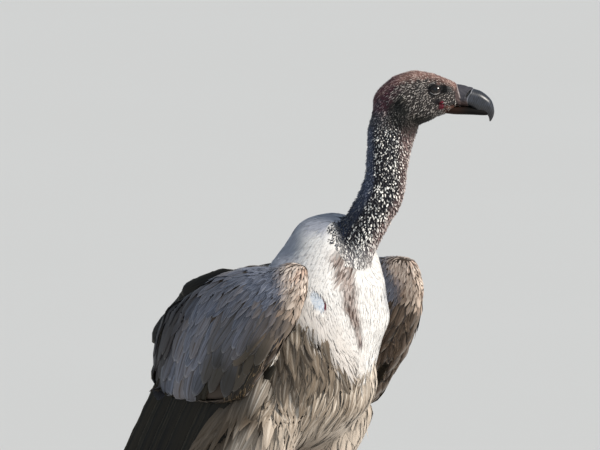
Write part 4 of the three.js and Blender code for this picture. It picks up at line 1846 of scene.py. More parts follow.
@dataclass
class Eye:
    """One eyeball with its wet cornea and its lid rims."""

    side: str
    radius: float = EYE_RADIUS
    cornea: float = 0.7
    pupil: float = 3.0
    iris: float = 5.4
    rim: float = 0.5
    lid_reach: tuple[float, float] = (7.3, 5.3)
    lid_tilt: float = 0.10

    @property
    def sign(self) -> int:
        """-1 on the right, 1 on the left."""
        return -1 if self.side == "right" else 1

    def build(self) -> None:
        """Builds the ball and the rims."""
        make_piece("eyeball_" + self.side, self._ball(), self._ball_finish(), ["eye_" + self.side])
        make_piece("lid_rims_" + self.side, self._rims(), self._rim_finish())

    def _ball(self) -> Shell:
        """A ball whose front bulges into the cornea. The map's Y runs from the front to the back.

        Returns:
            The ball.
        """
        rings, around = 40, 56
        polar = np.linspace(0.02, math.pi - 0.02, rings)[:, None]
        turn = np.linspace(0, 2 * math.pi, around, endpoint=False)[None]
        reach = self.radius * np.sin(polar)
        swell = self.cornea * np.exp(-(reach / 4.8) ** 4) * (np.cos(polar) > 0)
        out = self.radius * np.cos(polar) + swell
        points = on_head(reach * np.cos(turn), self.sign * (EYE_SIDE + out * np.ones_like(turn)),
                         reach * np.sin(turn))
        if self.sign < 0:
            points = points[:, ::-1]
        return loft(points[::-1])

    def _ball_finish(self) -> bpy.types.Material:
        """A black pupil in a dark brown iris under a wet cornea.

        Returns:
            The material.
        """
        recipe = Recipe("vulture eye " + self.side)
        local = recipe.packed_place() - tuple(SHIFT + HEAD_MIDDLE + self.sign * EYE_SIDE * LEFTWARD)
        ahead, above = local.along(FORWARD), local.along(UPWARD)
        reach = (ahead * ahead + above * above) ** 0.5
        rays = recipe.noise(local, 0.9, 3)
        iris = recipe.mix(rays, paint(16, 10, 7), paint(44, 28, 18))
        colour = recipe.mix(reach.step(self.pupil + 0.4, self.pupil - 0.2), iris, paint(4, 3, 3))
        colour = recipe.mix(reach.step(self.iris - 0.3, self.iris + 0.4), colour, paint(26, 18, 15))
        return recipe.close(colour, 0.1, Coat_Weight=0.3, Coat_Roughness=0.03, Specular_IOR_Level=0.35)

    def _rims(self) -> Shell:
        """A rounded rim round the opening, lying on the ball.

        Returns:
            The rims.
        """
        turn = np.linspace(0, 2 * math.pi, 72, endpoint=False)
        thick = self.rim * (1 + 0.35 * np.maximum(np.sin(turn), 0))
        section = np.linspace(0, 2 * math.pi, 10, endpoint=False)
        ahead = self.lid_reach[0] * np.sign(np.cos(turn)) * np.abs(np.cos(turn)) ** 0.92
        above = self.lid_reach[1] * np.sin(turn) + self.lid_tilt * ahead
        centre = np.stack([ahead, above], -1)
        lift = np.sqrt(np.maximum((self.radius + 0.25) ** 2 - (centre**2).sum(-1), 1.0))
        outward = unit(np.stack([ahead, above * 1.6], -1))
        spot = centre[:, None] + outward[:, None] * (thick[:, None, None] * np.cos(section)[None, :, None])
        side = lift[:, None] + thick[:, None] * np.sin(section)
        points = on_head(spot[..., 0], self.sign * (EYE_SIDE + side), spot[..., 1])
        if self.sign > 0:
            points = points[:, ::-1]
        count, around = points.shape[:2]
        ring, spoke = np.meshgrid(np.arange(count), np.arange(around), indexing="ij")
        share = np.stack([spoke / around, ring / count], -1).reshape(-1, 2)
        return Shell(points.reshape(-1, 3), ring_quads(count, around, True), np.zeros((0, 3), int),
                     {VANE_MAP: share})

    def _rim_finish(self) -> bpy.types.Material:
        """Black lids with a pale line along the lower one.

        Returns:
            The material.
        """
        recipe = Recipe("vulture lid " + self.side)
        _, along, _ = recipe.vane().parts()
        lower = abs(along - 0.72).step(0.2, 0.08)
        rough = recipe.noise(recipe.vane().stretched((2.0, 60.0, 1.0)), 1.0)
        colour = recipe.mix(lower * (rough * 0.4 + 0.6), paint(12, 11, 12), paint(206, 200, 194))
        return recipe.close(colour, 0.38, recipe.bump(rough, 0.2), Specular_IOR_Level=0.5)


@dataclass
class Bill:
    """The hooked upper bill with its cere, and the lower bill.

    Rings are (ahead, height, half width, down, up) from the middle between the eyes.
    """

    upper: tuple[tuple[float, ...], ...] = (
        (18, -9, 12, 12, 12), (27, -8.6, 14.6, 13.4, 13.4), (36, -8.6, 14.3, 13.4, 12.4),
        (43, -9.4, 13.3, 13.2, 10.8), (49, -10.6, 12.4, 14.0, 9.9), (55.5, -12.8, 11.6, 15.6, 9.8),
        (61, -16.2, 10.6, 15.6, 9.2), (66.3, -20.6, 8.9, 13.2, 8.0), (69.4, -25.8, 6.8, 9.6, 6.5),
        (71.6, -31.8, 4.5, 5.8, 4.7), (71.9, -37.4, 2.6, 2.9, 2.7), (70.7, -42.6, 0.7, 0.8, 0.8))
    upper_lean: tuple[float, ...] = (0, 0, 2, 6, 10, 17, 28, 45, 62, 76, 88, 100)
    lower: tuple[tuple[float, ...], ...] = (
        (10, -27, 10, 5, 4), (24, -27.6, 12.0, 5.9, 5.6), (36, -28.4, 11.3, 5.5, 6.6),
        (47, -29.4, 9.9, 4.8, 6.6), (58, -30.6, 7.8, 4.2, 5.6), (66, -31.2, 5.0, 3.6, 4.2),
        (70.5, -31.4, 1.5, 1.7, 1.6))
    slit_place: tuple[float, float] = (42.0, -6.0)
    slit_size: tuple[float, float] = (1.7, 4.6)
    slit_lean: float = 0.7
    cere_edge: tuple[float, float, float] = (42.0, 0.374, 0.035)  # ahead at height -10, slope, curve

    def build(self) -> None:
        """Builds both halves."""
        make_piece("upper_bill", self._upper(), self._upper_finish(), ["bill_upper", "cere"])
        make_piece("lower_bill", self._lower(), self._lower_finish(), ["bill_lower"])

    def _rings(self, knots: Sequence[Sequence[float]], lean: Sequence[float], count: int,
               around: int, power: float, keel: float) -> Array:
        """Rings of a bent tube whose upper and lower halves have their own heights.

        Args:
            knots: rows of ahead, height, half width, down and up.
            lean: how far each row leans forward, in degrees.
            count: how many rings.
            around: how many points a ring has.
            power: 2 gives ellipses, and more squarer rings.
            keel: how far the top narrows.

        Returns:
            The rings.
        """
        table = catmull(np.column_stack([np.asarray(knots, float), lean]), count)
        ahead, height, half, down, rise, angle = table.T
        turn = np.linspace(0, 2 * math.pi, around, endpoint=False)
        cosine, sine = np.cos(turn), np.sin(turn)
        wide = np.sign(cosine) * np.abs(cosine) ** (2 / power)
        tall = np.sign(sine) * np.abs(sine) ** (2 / power)
        wide = wide * np.where(sine > 0, 1 - keel * sine**2, 1.0)
        span = np.where(sine[None] > 0, rise[:, None], down[:, None]) * tall[None]
        slope = np.radians(angle)[:, None]
        return on_head(ahead[:, None] + span * np.sin(slope), -half[:, None] * wide[None],
                       height[:, None] + span * np.cos(slope))

    def _upper(self) -> Shell:
        """The upper bill, with the cere's swelling, its edge and the nostril slits.

        Returns:
            The upper bill.
        """
        rings = self._rings(self.upper, self.upper_lean, 150, 112, 2.6, 0.2)
        ahead, side, height = head_place(rings)
        edge = self._past_cere(ahead, height)
        cere = ease(edge, 0.6, -0.8)
        swell = 0.55 * cere * ease(edge, -12, -2) - 0.35 * np.exp(-(edge / 0.7) ** 2)
        swell += 0.25 * cere * ripple(rings, 4.0, 8)
        lean = (height - self.slit_place[1]) * self.slit_lean
        slit = np.hypot((ahead - self.slit_place[0] - lean) / self.slit_size[0],
                        (height - self.slit_place[1]) / self.slit_size[1])
        rim = 0.45 * np.exp(-((slit - 1.5) / 0.3) ** 2)
        swell += (rim - 2.8 * ease(slit, 1.15, 0.75)) * (np.abs(side) > 6)
        tooth = 0.8 * np.exp(-((ahead - 60) / 4) ** 2)
        low = ease(-(height - lerp(-24.0, -29.0, ease(ahead, 44, 64))), 1.5, 4.5)
        shell = loft(rings)
        outward = self._outward(rings)
        moved = rings + outward * swell[..., None]
        moved = moved - UPWARD * (tooth * low)[..., None]
        shell.points[: moved.size // 3] = moved.reshape(-1, 3)
        return shell

    def _past_cere(self, ahead: Place, height: Place) -> Place:
        """How far ahead of the cere's front edge places lie.

        Args:
            ahead: how far ahead of the eyes they lie.
            height: how far above them.

        Returns:
            The distances, which are below 0 on the cere.
        """
        place, slope, curve = self.cere_edge
        above = height + 10
        return ahead - place - above * slope - above * above * curve

    def _outward(self, rings: Array) -> Array:
        """The direction from each ring's middle to its points."""
        return unit(rings - rings.mean(1, keepdims=True))

    def _lower(self) -> Shell:
        """The lower bill, which closes inside the upper one's edges."""
        rings = self._rings(self.lower, [0] * len(self.lower), 60, 56, 2.2, 0.0)
        return loft(rings)

    def _grain(self, recipe: Recipe) -> tuple[Wire, Wire, Wire, Wire]:
        """How far places lie ahead of and above the eyes, the horn's grain, and its scuffs.

        Args:
            recipe: the material.

        Returns:
            The four wires.
        """
        local = recipe.place() - tuple(HEAD_MIDDLE)
        grain = recipe.noise(local.stretched((1.0, 1.0, 0.35)), 0.5, 4)
        return local.along(FORWARD), local.along(UPWARD), grain, recipe.noise(local, 1.6, 5, 0.65)

    def _upper_finish(self) -> bpy.types.Material:
        """Glossy slate horn with growth lines and scuffs, and the duller skin of the cere.

        Returns:
            The material.
        """
        recipe = Recipe("vulture upper bill")
        ahead, height, grain, scuffs = self._grain(recipe)
        colour = recipe.mix(grain.step(0.3, 0.7), paint(16, 17, 20), paint(41, 45, 55))
        ridge = (height + (ahead - 40) * 0.45 + scuffs * 4).step(-4.0, 6.0)
        colour = recipe.mix(ridge * 0.6, colour, paint(20, 18, 19))
        low = height + (ahead - 42) * 0.34
        colour = recipe.mix((low + scuffs * 3).step(-12.0, -19.0) * 0.85, colour, paint(26, 23, 23))
        lines = (ahead * 2.2 - height * 1.1 + scuffs * 5).sine() * 0.5 + 0.5
        colour = recipe.mix(lines * 0.1, colour, paint(120, 126, 136))
        edge = self._past_cere(ahead, height)
        cere = edge.step(0.3, -0.5)
        colour = recipe.mix(cere, colour, self._cere_colour(recipe, ahead, height, scuffs))
        rim = abs(edge).step(1.1, 0.2)
        colour = recipe.mix(rim * height.step(-20.0, -14.0) * 0.5, colour, paint(128, 130, 138))
        lean = (height - self.slit_place[1]) * self.slit_lean
        off = (ahead - self.slit_place[0] - lean) / self.slit_size[0]
        high = (height - self.slit_place[1]) / self.slit_size[1]
        # painted shade: black inside the nostril slit
        colour = recipe.mix((off * off + high * high).step(1.3, 0.7), colour, paint(5, 5, 5))
        rough = 0.26 + cere * 0.26 + scuffs * 0.14 + ahead.step(66.0, 46.0) * 0.14
        relief = grain * 0.5 + scuffs * 0.4 + lines * 0.15
        return recipe.close(colour, rough, recipe.bump(relief, 0.25, 0.6), Specular_IOR_Level=0.6)

    def _cere_colour(self, recipe: Recipe, ahead: Wire, height: Wire, scuffs: Wire) -> Wire:
        """The skin of the cere, reddish towards the gape, with a pale seam against the face.

        Args:
            recipe: the material.
            ahead: how far ahead of the eyes places lie.
            height: how far above them.
            scuffs: the scuffs' noise.

        Returns:
            The colour.
        """
        skin = recipe.mix(scuffs, paint(30, 29, 33), paint(64, 62, 70))
        skin = recipe.mix(height.step(-12.0, -18.0) * 0.8, skin, paint(58, 36, 28))
        back = ahead - 29 + (height + 2) * 0.27
        seam = abs(back).step(1.2, 0.3) * height.step(-13.0, -9.0)
        skin = recipe.mix(seam * 0.8, skin, paint(188, 172, 166))
        return recipe.mix(back.step(0.0, -1.5), skin, paint(92, 74, 70))

    def _lower_finish(self) -> bpy.types.Material:
        """Dull black horn, reddish-brown towards the gape.

        Returns:
            The material.
        """
        recipe = Recipe("vulture lower bill")
        ahead, _, grain, scuffs = self._grain(recipe)
        colour = recipe.mix(ahead.step(20.0, 46.0), paint(40, 25, 18), paint(9, 7, 6))
        worn = scuffs.step(0.5, 0.75) * ahead.step(46.0, 26.0)
        colour = recipe.mix(worn * 0.3, colour, paint(92, 52, 34))
        return recipe.close(colour, 0.6 + scuffs * 0.2, recipe.bump(grain * 0.5 + scuffs * 0.4, 0.25, 0.6),
                            Specular_IOR_Level=0.12)


@dataclass
class Claws:
    """The eight curved claws, each growing from the end of its toe.

    Toes are (name, angle from straight ahead towards the outside, length).
    """

    toes: tuple[tuple[str, float, float], ...] = (
        ("inner", -34, 58), ("middle", 0, 88), ("outer", 30, 66), ("hind", 172, 42))
    foot_turn: float = 5.0
    foot_place: tuple[float, float] = (60.0, 40.0)
    profile: tuple[tuple[float, float, float], ...] = (
        (-5, 6.4, 4.4), (1, 8.6, 4.9), (7, 9.8, 4.4), (13, 9.0, 3.5), (18, 6.2, 2.4), (21.5, 3.4, 1.3),
        (23.5, 1.1, 0.35))  # beyond the toe's end, height, radius

    def build(self) -> None:
        """Builds a claw for every toe."""
        finish = self._finish()
        for side, sign in zip(SIDES, (-1, 1)):
            for name, angle, length in self.toes:
                turn = math.radians((angle + self.foot_turn) * sign)
                way = np.array([math.sin(turn), -math.cos(turn), 0.0])
                across = np.array([math.cos(turn), math.sin(turn), 0.0])
                start = np.array([sign * self.foot_place[0], self.foot_place[1], 0.0]) + way * length
                shell = self._claw(start, way, across)
                make_piece(f"horn_{name}_{side}", shell, finish, [f"claw_{name}_{side}"])

    def _claw(self, start: Array, way: Array, across: Array) -> Shell:
        """One claw: a bent cone, flatter underneath.

        Args:
            start: the toe's end.
            way: the toe's direction.
            across: the direction to its side.

        Returns:
            The claw.
        """
        table = catmull(self.profile, 26)
        beyond, height, radius = table.T
        turn = np.linspace(0, 2 * math.pi, 20, endpoint=False)
        centre = start + beyond[:, None] * way + height[:, None] * UPWARD
        bend = unit(np.gradient(centre, axis=0))
        top = np.cross(across, bend)
        under = np.where(np.sin(turn) < 0, 0.75, 1.05)
        rings = centre[:, None] + radius[:, None, None] * (
            across * (0.82 * np.cos(turn))[:, None] + top[:, None] * (under * np.sin(turn))[:, None])
        rings[..., 2] = np.maximum(rings[..., 2], 0.3)
        return loft(rings[:, ::-1] if np.dot(np.cross(across, top[0]), bend[0]) < 0 else rings)

    def _finish(self) -> bpy.types.Material:
        """Dark horn with growth lines, paler where it is worn.

        Returns:
            The material.
        """
        recipe = Recipe("vulture claw horn")
        _, along, _ = recipe.vane().parts()
        grain = recipe.noise(recipe.packed_place(), 0.7, 4)
        lines = (along * 70 + grain * 4).sine() * 0.5 + 0.5
        colour = recipe.mix(grain.step(0.35, 0.65), paint(24, 22, 22), paint(66, 60, 57))
        colour = recipe.mix(along.step(0.75, 1.0) * 0.4, colour, paint(112, 100, 90))
        return recipe.close(colour, 0.34 + grain * 0.2, recipe.bump(lines * 0.4 + grain, 0.15, 0.5),
                            Specular_IOR_Level=0.5)


# ---------------------------------------------------------------- the coat of the body


def steady(x: float, y: float, z: float) -> Field:
    """A lie that is the same everywhere."""
    way = unit(np.array([x, y, z]))
    return lambda points: np.broadcast_to(way, points.shape)


def head_lie(points: Array) -> Array:
    """Back from the bill, turning down over the cheeks and round the eye.

    Args:
        points: places in the bird's frame, in millimetres.

    Returns:
        The direction at each.
    """
    ahead, _, height = head_place(points)
    down = 0.15 + 0.75 * ease(-height, -12, 18) + 0.5 * ease(-ahead, 40, 75)
    around = np.exp(-(np.hypot(ahead, height) / 13) ** 2) * np.sign(height + 0.1) * 0.6
    return -FORWARD + UPWARD * (around - down)[:, None]


def ruff_lie(points: Array) -> Array:
    """Away from the neck's base, and down.

    Args:
        points: places in the bird's frame, in millimetres.

    Returns:
        The direction at each.
    """
    out = points - (0.0, -104.0, 0.0)
    out[:, 2] = 0
    return unit(out) * 0.8 + np.array([0, 0.1, -0.85])


def crop_lie(points: Array) -> Array:
    """Down the crop, in towards the brown line and the tuft at its lower end.

    Args:
        points: places in the bird's frame, in millimetres.

    Returns:
        The direction at each.
    """
    across = points[:, 0] + 3 + np.minimum(points[:, 2] - 443, 52) * 0.52
    inward = -np.tanh(across / 22) * lerp(0.75, 0.25, ease(points[:, 2], 400, 500))
    return np.stack([inward, np.full(len(points), 0.12), np.full(len(points), -1.0)], -1)


def body_lie(points: Array) -> Array:
    """Down and back over the breast, flanks and belly, gathered into loose locks.

    Args:
        points: places in the bird's frame, in millimetres.

    Returns:
        The direction at each.
    """
    back = lerp(0.1, 0.5, ease(points[:, 1], -60, 60))
    swirl = 0.2 * ripple(points, 75.0, 9) + 0.1 * ripple(points, 32.0, 10)
    return np.stack([points[:, 0] * 0.001 + swirl, back - 0.2 * swirl, np.full(len(points), -1.0)], -1)


def neck_lie(points: Array) -> Array:
    """Down the neck, spreading a little at its base."""
    spread = 0.5 * ease(-points[:, 2], -580, -550)
    return np.stack([points[:, 0] * 0.01 * spread, -0.2 * spread, np.full(len(points), -1.0)], -1)


def crop_edge(points: Array) -> Array:
    """How far above the white crop's lower edge points lie, in millimetres."""
    return above_crop(points[:, 0], points[:, 2])


def bare_reach(points: Array) -> Array:
    """How far points lie from the middle of the bare spot beside the crop, in its own reaches."""
    off = points - BARE_MIDDLE
    return np.hypot(off @ BARE_LONG / BARE_REACH[0], off @ BARE_WIDE / BARE_REACH[1])


def neck_base(points: Array) -> Array:
    """Which points lie on the grey patch where the neck meets the ruff."""
    reach = np.hypot(points[:, 0] + 20, (points[:, 2] - 566) * 0.7)
    return (reach + 3 * ripple(points, 9.0, 14) < 20) & (points[:, 1] < -80)


@dataclass
class Coat:
    """Down, bristles and feathers of the head, neck and body."""

    skin: Skin

    def __post_init__(self) -> None:
        """Prepares the two stretches of skin that the coat is combed along."""
        self.hood = self.skin.guide(Zone.HEAD, Zone.NECK, Zone.RUFF)
        self.body = self.skin.guide(Zone.NECK, Zone.RUFF, Zone.TRUNK, Zone.THIGHS, Zone.MANTLE, Zone.RUMP)

    def build(self) -> None:
        """Grows every stretch of the coat."""
        self._head()
        self._neck()
        self._ruff()
        self._crop()
        self._breast()
        self._thighs()
        self._flanks()
        self._back()

    def _head(self) -> None:
        """Short bristles, smallest round the eye and the bill."""
        guide = self.hood
        ahead, _, height = head_place(guide.middles)
        eye = np.hypot(ahead / 9.4, (height - 0.1 * ahead) / 7.4) < 1
        keep = guide.within(Zone.HEAD) & ~eye & (ahead < 33)
        roots = guide.scatter(lambda p: 1.6 + 0.4 * ease(-head_place(p)[0], 20, 60), keep, 11)
        vane = Vane(rows=2, columns=3, root=0.7, shoulder=0.2, taper=0.3, camber=0.05, thickness=0.2,
                    ragged=0, belly=False, softness=0.5)
        growth = Growth(vane, lambda p: 3.0 + 1.6 * ease(-head_place(p)[0], 0, 60), 0.8, head_lie, -0.3,
                        0.7, curl=0.06, sway=0.3, uneven=0.35)
        make_piece("head_bristles", growth.grown(guide, roots, 12),
                   self._plain("head bristles", hood_marking))

    def _plain(self, name: str, marking: Marking) -> bpy.types.Material:
        """The finish of small tufts that take their whole colour from a marking.

        Args:
            name: the material's name.
            marking: gives the colour.

        Returns:
            The material.
        """
        grey = paint(200, 200, 200)
        return FeatherFinish(name, grey, grey, grey, grey, edge_share=0.0, shaft_share=0.0, root_shade=0.0,
                             sheen=0.0, marking=marking).material()

    def _neck(self) -> None:
        """White flecks of down over dark fuzz."""
        guide = self.hood
        keep = guide.within(Zone.NECK) | (guide.within(Zone.RUFF) & neck_base(guide.middles))
        vane = Vane(rows=2, columns=3, root=0.7, shoulder=0.2, taper=0.3, camber=0.1, thickness=0.3,
                    ragged=0, belly=False)
        fuzz = Growth(vane, 3.8, 1.2, neck_lie, -0.3, 1.0, curl=0.1, sway=0.5, uneven=0.4)
        roots = guide.scatter(2.3, keep, 23)
        make_piece("neck_fuzz", fuzz.grown(guide, roots, 24), self._plain("neck fuzz", fuzz_marking))
        spacing = tabled((545, 570, 610, 660, 720), (1.8, 2.0, 2.7, 2.3, 2.0))
        roots = guide.scatter(spacing, keep, 21)
        vane = Vane(rows=3, columns=3, root=0.5, shoulder=0.4, taper=0.5, bluntness=2.0, roundness=2.0,
                    camber=0.12, thickness=0.3, ragged=0.35, belly=False, softness=0.6)
        flecks = Growth(vane, tabled((545, 570, 610, 720), (5.5, 3.4, 3.4, 2.4)),
                        tabled((545, 610, 720), (1.7, 2.3, 1.7)), neck_lie, -0.2, 1.3,
                        curl=0.1, sway=0.65, roll=0.25, uneven=0.5)
        make_piece("neck_down", flecks.grown(guide, roots, 22), self._plain("neck down", neck_marking))

    def _down(self) -> Vane:
        """A flat soft tuft."""
        return Vane(rows=3, columns=3, root=0.85, shoulder=0.15, taper=0.3, bluntness=1.5, camber=0.06,
                    thickness=0.25, ragged=0.2, belly=False, softness=0.9)

    def _white(self, name: str) -> FeatherFinish:
        """White down."""
        return FeatherFinish(name, WHITE_DOWN, paint(226, 221, 216), paint(247, 245, 242), WHITE_DOWN,
                             edge_share=0.1, shaft_share=0.0, root_shade=0.0, streaks=0.3,
                             marking=crop_marking, barbs=0.1, glow=0.2)

    def _ruff(self) -> None:
        """Smooth white down on the shoulders round the neck's base."""
        guide = self.body
        keep = guide.within(Zone.RUFF) & (guide.middles[:, 2] > 470) & ~neck_base(guide.middles)
        roots = guide.scatter(2.3, keep, 31)
        behind = roots[:, 1] > -12
        smooth = Growth(self._down(), 15.0, 4.2, ruff_lie, -0.3, 1.0, sway=0.12, roll=0.03, uneven=0.3)
        fluffy = Growth(self._down(), 17.0, 5.0, ruff_lie, -0.5, 3.0, sway=0.3, roll=0.25, uneven=0.4,
                        curl=0.03, hang=0.2)
        shells = [smooth.grown(guide, roots[~behind], 32), fluffy.grown(guide, roots[behind], 33)]
        make_piece("ruff_down", joined(shells), self._white("ruff down").material())

    def _crop(self) -> None:
        """White down on the crop, longest along its lower edge."""
        guide = self.body
        spots = guide.middles
        bare = bare_reach(spots)
        keep = guide.within(Zone.TRUNK) & (crop_edge(spots) > -8) & (spots[:, 1] < -5)
        keep &= bare + 0.3 * ripple(spots, 7.0, 12) > 0.95
        roots = guide.scatter(graded(2.9, 2.2, 0, 20, crop_edge), keep, 41)
        by_spot = graded(0.35, 1.0, 1.1, 2.0, bare_reach)
        growth = Growth(self._down(), scaled(graded(34.0, 14.0, 0, 45, crop_edge), by_spot),
                        scaled(graded(5.0, 4.0, 0, 45, crop_edge), by_spot), crop_lie,
                        -0.3, graded(3.5, 1.0, 0, 40, crop_edge), sway=0.12, roll=0.03, uneven=0.3)
        make_piece("crop_down", growth.grown(guide, roots, 42), self._white("crop down").material())

    def _loose(self) -> Vane:
        """A broad soft feather with a worn edge."""
        return Vane(rows=8, columns=5, root=0.45, shoulder=0.3, taper=0.4, bluntness=1.6, roundness=1.2,
                    camber=0.08, thickness=0.4, ragged=0.3, softness=0.7)

    def _strand(self) -> Vane:
        """A thin loose lock that breaks up the edges of the feathers under it."""
        return Vane(rows=5, columns=3, root=0.8, shoulder=0.2, taper=0.3, bluntness=1.4, camber=0.06,
                    thickness=0.3, ragged=0.25, belly=False, softness=0.7)

    def _locks(self, name: str, guide: Guide, keep: Array, spacing: Setting, length: Setting,
               width: Setting, seed: int) -> None:
        """Long loose feathers with finer strands between them, as one piece.

        Args:
            name: the piece's name.
            guide: the surface.
            keep: which of its triangles may be used.
            spacing: how far apart the feathers stand.
            length: their length.
            width: their width.
            seed: seeds the random choices.
        """
        growth = Growth(self._loose(), length, width, body_lie, -1.0, 5.0, sway=0.12, uneven=0.25, curl=0.01,
                        bend=0.04, stiffness=0.4, hang=0.2)
        strands = Growth(self._strand(), scaled(length, 0.7), 2.8, body_lie, 0.0, 5.0,
                         sway=0.18, uneven=0.4, curl=0.02, bend=0.06, stiffness=0.4, hang=0.2)
        roots = guide.scatter(spacing, keep, seed)
        fine = guide.scatter(scaled(spacing, 0.72), keep, seed + 2)
        shells = [growth.grown(guide, roots, seed + 4), strands.grown(guide, fine, seed + 6)]
        make_piece(name, joined(shells), self._buff("plumage of " + name).material())

    def _breast(self) -> None:
        """The plumage of the breast, flanks and belly."""
        spots = self.body.middles
        for number, (side, sign) in enumerate(zip(SIDES, (-1, 1))):
            keep = ((crop_edge(spots) < 10) | (spots[:, 1] > -5)) & (spots[:, 0] * sign > 0)
            keep &= self.body.within(Zone.TRUNK)
            self._locks("body_feathers_" + side, self.body, keep, 8.0, graded(72.0, 48.0, 300, 440),
                        graded(19.0, 14.0, 330, 440), 51 + number)

    def _buff(self, name: str) -> FeatherFinish:
        """Grey-brown feathers with broad cream shafts and pale edges."""
        return FeatherFinish(name, paint(150, 134, 116), paint(92, 81, 69), paint(192, 176, 156),
                             paint(232, 220, 204), edge_share=0.35, edge_width=0.3, shaft_share=0.85,
                             shaft_width=0.36, streaks=0.5, root_shade=0.45, marking=belly_marking, barbs=0.5)

    def _thighs(self) -> None:
        """Loose feathers down the thighs, shorter towards the heel."""
        guide = self.skin.guide(Zone.TRUNK, Zone.THIGHS, Zone.SHANKS, Zone.RUMP)
        spots = guide.middles
        shelf = guide.normals[guide.tris].mean(1)[:, 2] > 0.3
        sizes = [graded(*ends, 130, 235) for ends in ((4.5, 8.0), (20.0, 62.0), (6.0, 17.0))]
        for number, (side, sign) in enumerate(zip(SIDES, (-1, 1))):
            keep = guide.within(Zone.THIGHS) & (spots[:, 0] * sign > 0) & (spots[:, 2] > 122) & ~shelf
            self._locks("thigh_feathers_" + side, guide, keep, *sizes, 71 + number)

    def _flanks(self) -> None:
        """Soft feathers of the flanks that lie over the wings' lower edges."""
        roots = catmull([(-112, -48, 398), (-114, -32, 404), (-116, -20, 382), (-117, -4, 366),
                         (-118, 14, 350), (-117, 34, 332)], 36)
        tips = catmull([(-124, -26, 348), (-129, -2, 322), (-131, 26, 306), (-130, 56, 296),
                        (-127, 78, 276), (-123, 90, 250)], 36)
        roots = np.vstack([roots, catmull([(-106, -24, 352), (-107, 4, 340), (-108, 40, 322)], 18)])
        tips = np.vstack([tips, catmull([(-118, 8, 268), (-120, 44, 248), (-118, 84, 226)], 18)])
        rng = np.random.default_rng(91)
        count = len(roots)
        spread = rng.normal(size=(2, count, 3)) * (1.2, 6.0, 7.0)
        finish = self._buff("flank feathers")
        for number, (side, sign) in enumerate(zip(SIDES, (1, -1))):
            flip = np.array([sign, 1, 1])
            inward = np.array([24.0 * number, 0, 0])  # the left wing lies closer to the body
            starts, ends = ((line + off + inward) * flip for line, off in zip((roots, tips), spread))
            shell = blades(self._loose(), starts, ends, np.array([-sign, -0.35, 0.15]),
                           rng.uniform(8, 14, count), 0.05, 93 + number, Patches(9, 6))
            make_piece("flank_feathers_" + side, shell, finish.material())

    def _back(self) -> None:
        """Brown feathers over the back and buff ones at the root of the tail."""
        finish = FeatherFinish("back feathers", paint(112, 99, 88), paint(62, 52, 46), paint(168, 152, 134),
                               paint(50, 41, 35), edge_share=0.6, edge_width=0.15, shaft_share=0.5,
                               shaft_width=0.07, root_shade=0.5)
        vane = Vane(rows=8, columns=5, root=0.5, shoulder=0.3, taper=0.6, bluntness=2.0, roundness=1.6,
                    camber=0.1, thickness=0.35, ragged=0.12)
        guide = self.body
        size = graded(64.0, 36.0, 400, 545)
        roots = guide.scatter(scaled(size, 0.2), guide.within(Zone.MANTLE), 81)
        growth = Growth(vane, size, scaled(size, 0.38), steady(0, 0.6, -0.8), -1.0, 7.0, sway=0.1)
        make_piece("mantle_feathers", growth.grown(guide, roots, 82), finish.material())
        roots = guide.scatter(9.0, guide.within(Zone.RUMP), 83)
        roots = roots[(roots[:, 2] > 220) | (roots[:, 1] + 0.67 * roots[:, 2] < 280)]
        growth = Growth(vane, 52.0, 17.0, steady(0, 0.53, -0.85), -1.0, 7.0, sway=0.12)
        finish = self._buff("tail covert feathers")
        make_piece("tail_covert_feathers", growth.grown(guide, roots, 84), finish.material())


# ---------------------------------------------------------------- wings and tail


def from_wrist(depth: Place, height: Place) -> tuple[Place, Place]:
    """How far places lie behind and below the right wing's wrist."""
    return depth - WRIST_BACK, WRIST_UP - height


def along_wing(back: Place, low: Place) -> tuple[Place, Place]:
    """How far such places lie down the wing from the wrist, and towards its leading edge."""
    return back * WING_COSINE + low * WING_SINE, low * WING_COSINE - back * WING_SINE


def blades(vane: Vane, roots: Array, tips: Array, up: Array, width: Array, bow: float, seed: int,
           patches: Patches) -> Shell:
    """Long feathers between given ends.

    Args:
        vane: their outline.
        roots: where they start.
        tips: where they end.
        up: the direction of their upper faces, one for all or one each.
        width: their widths.
        bow: how far the middle rises, as a share of the length.
        seed: seeds the uneven edges.
        patches: how the baking map is laid out.

    Returns:
        The feathers.
    """
    along = vane.stations()[None, :, None]
    up = unit(np.broadcast_to(np.asarray(up, float), roots.shape))
    length = np.linalg.norm(tips - roots, axis=1)[:, None, None]
    line = roots[:, None] * (1 - along) + tips[:, None] * along
    line = line + up[:, None] * (4 * along * (1 - along) * bow * length)
    rng = np.random.default_rng(seed)
    ups = np.repeat(up[:, None], line.shape[1], axis=1)
    return vane.shell(line, ups, width, roots, np.zeros((len(roots), 2)), rng, patches)


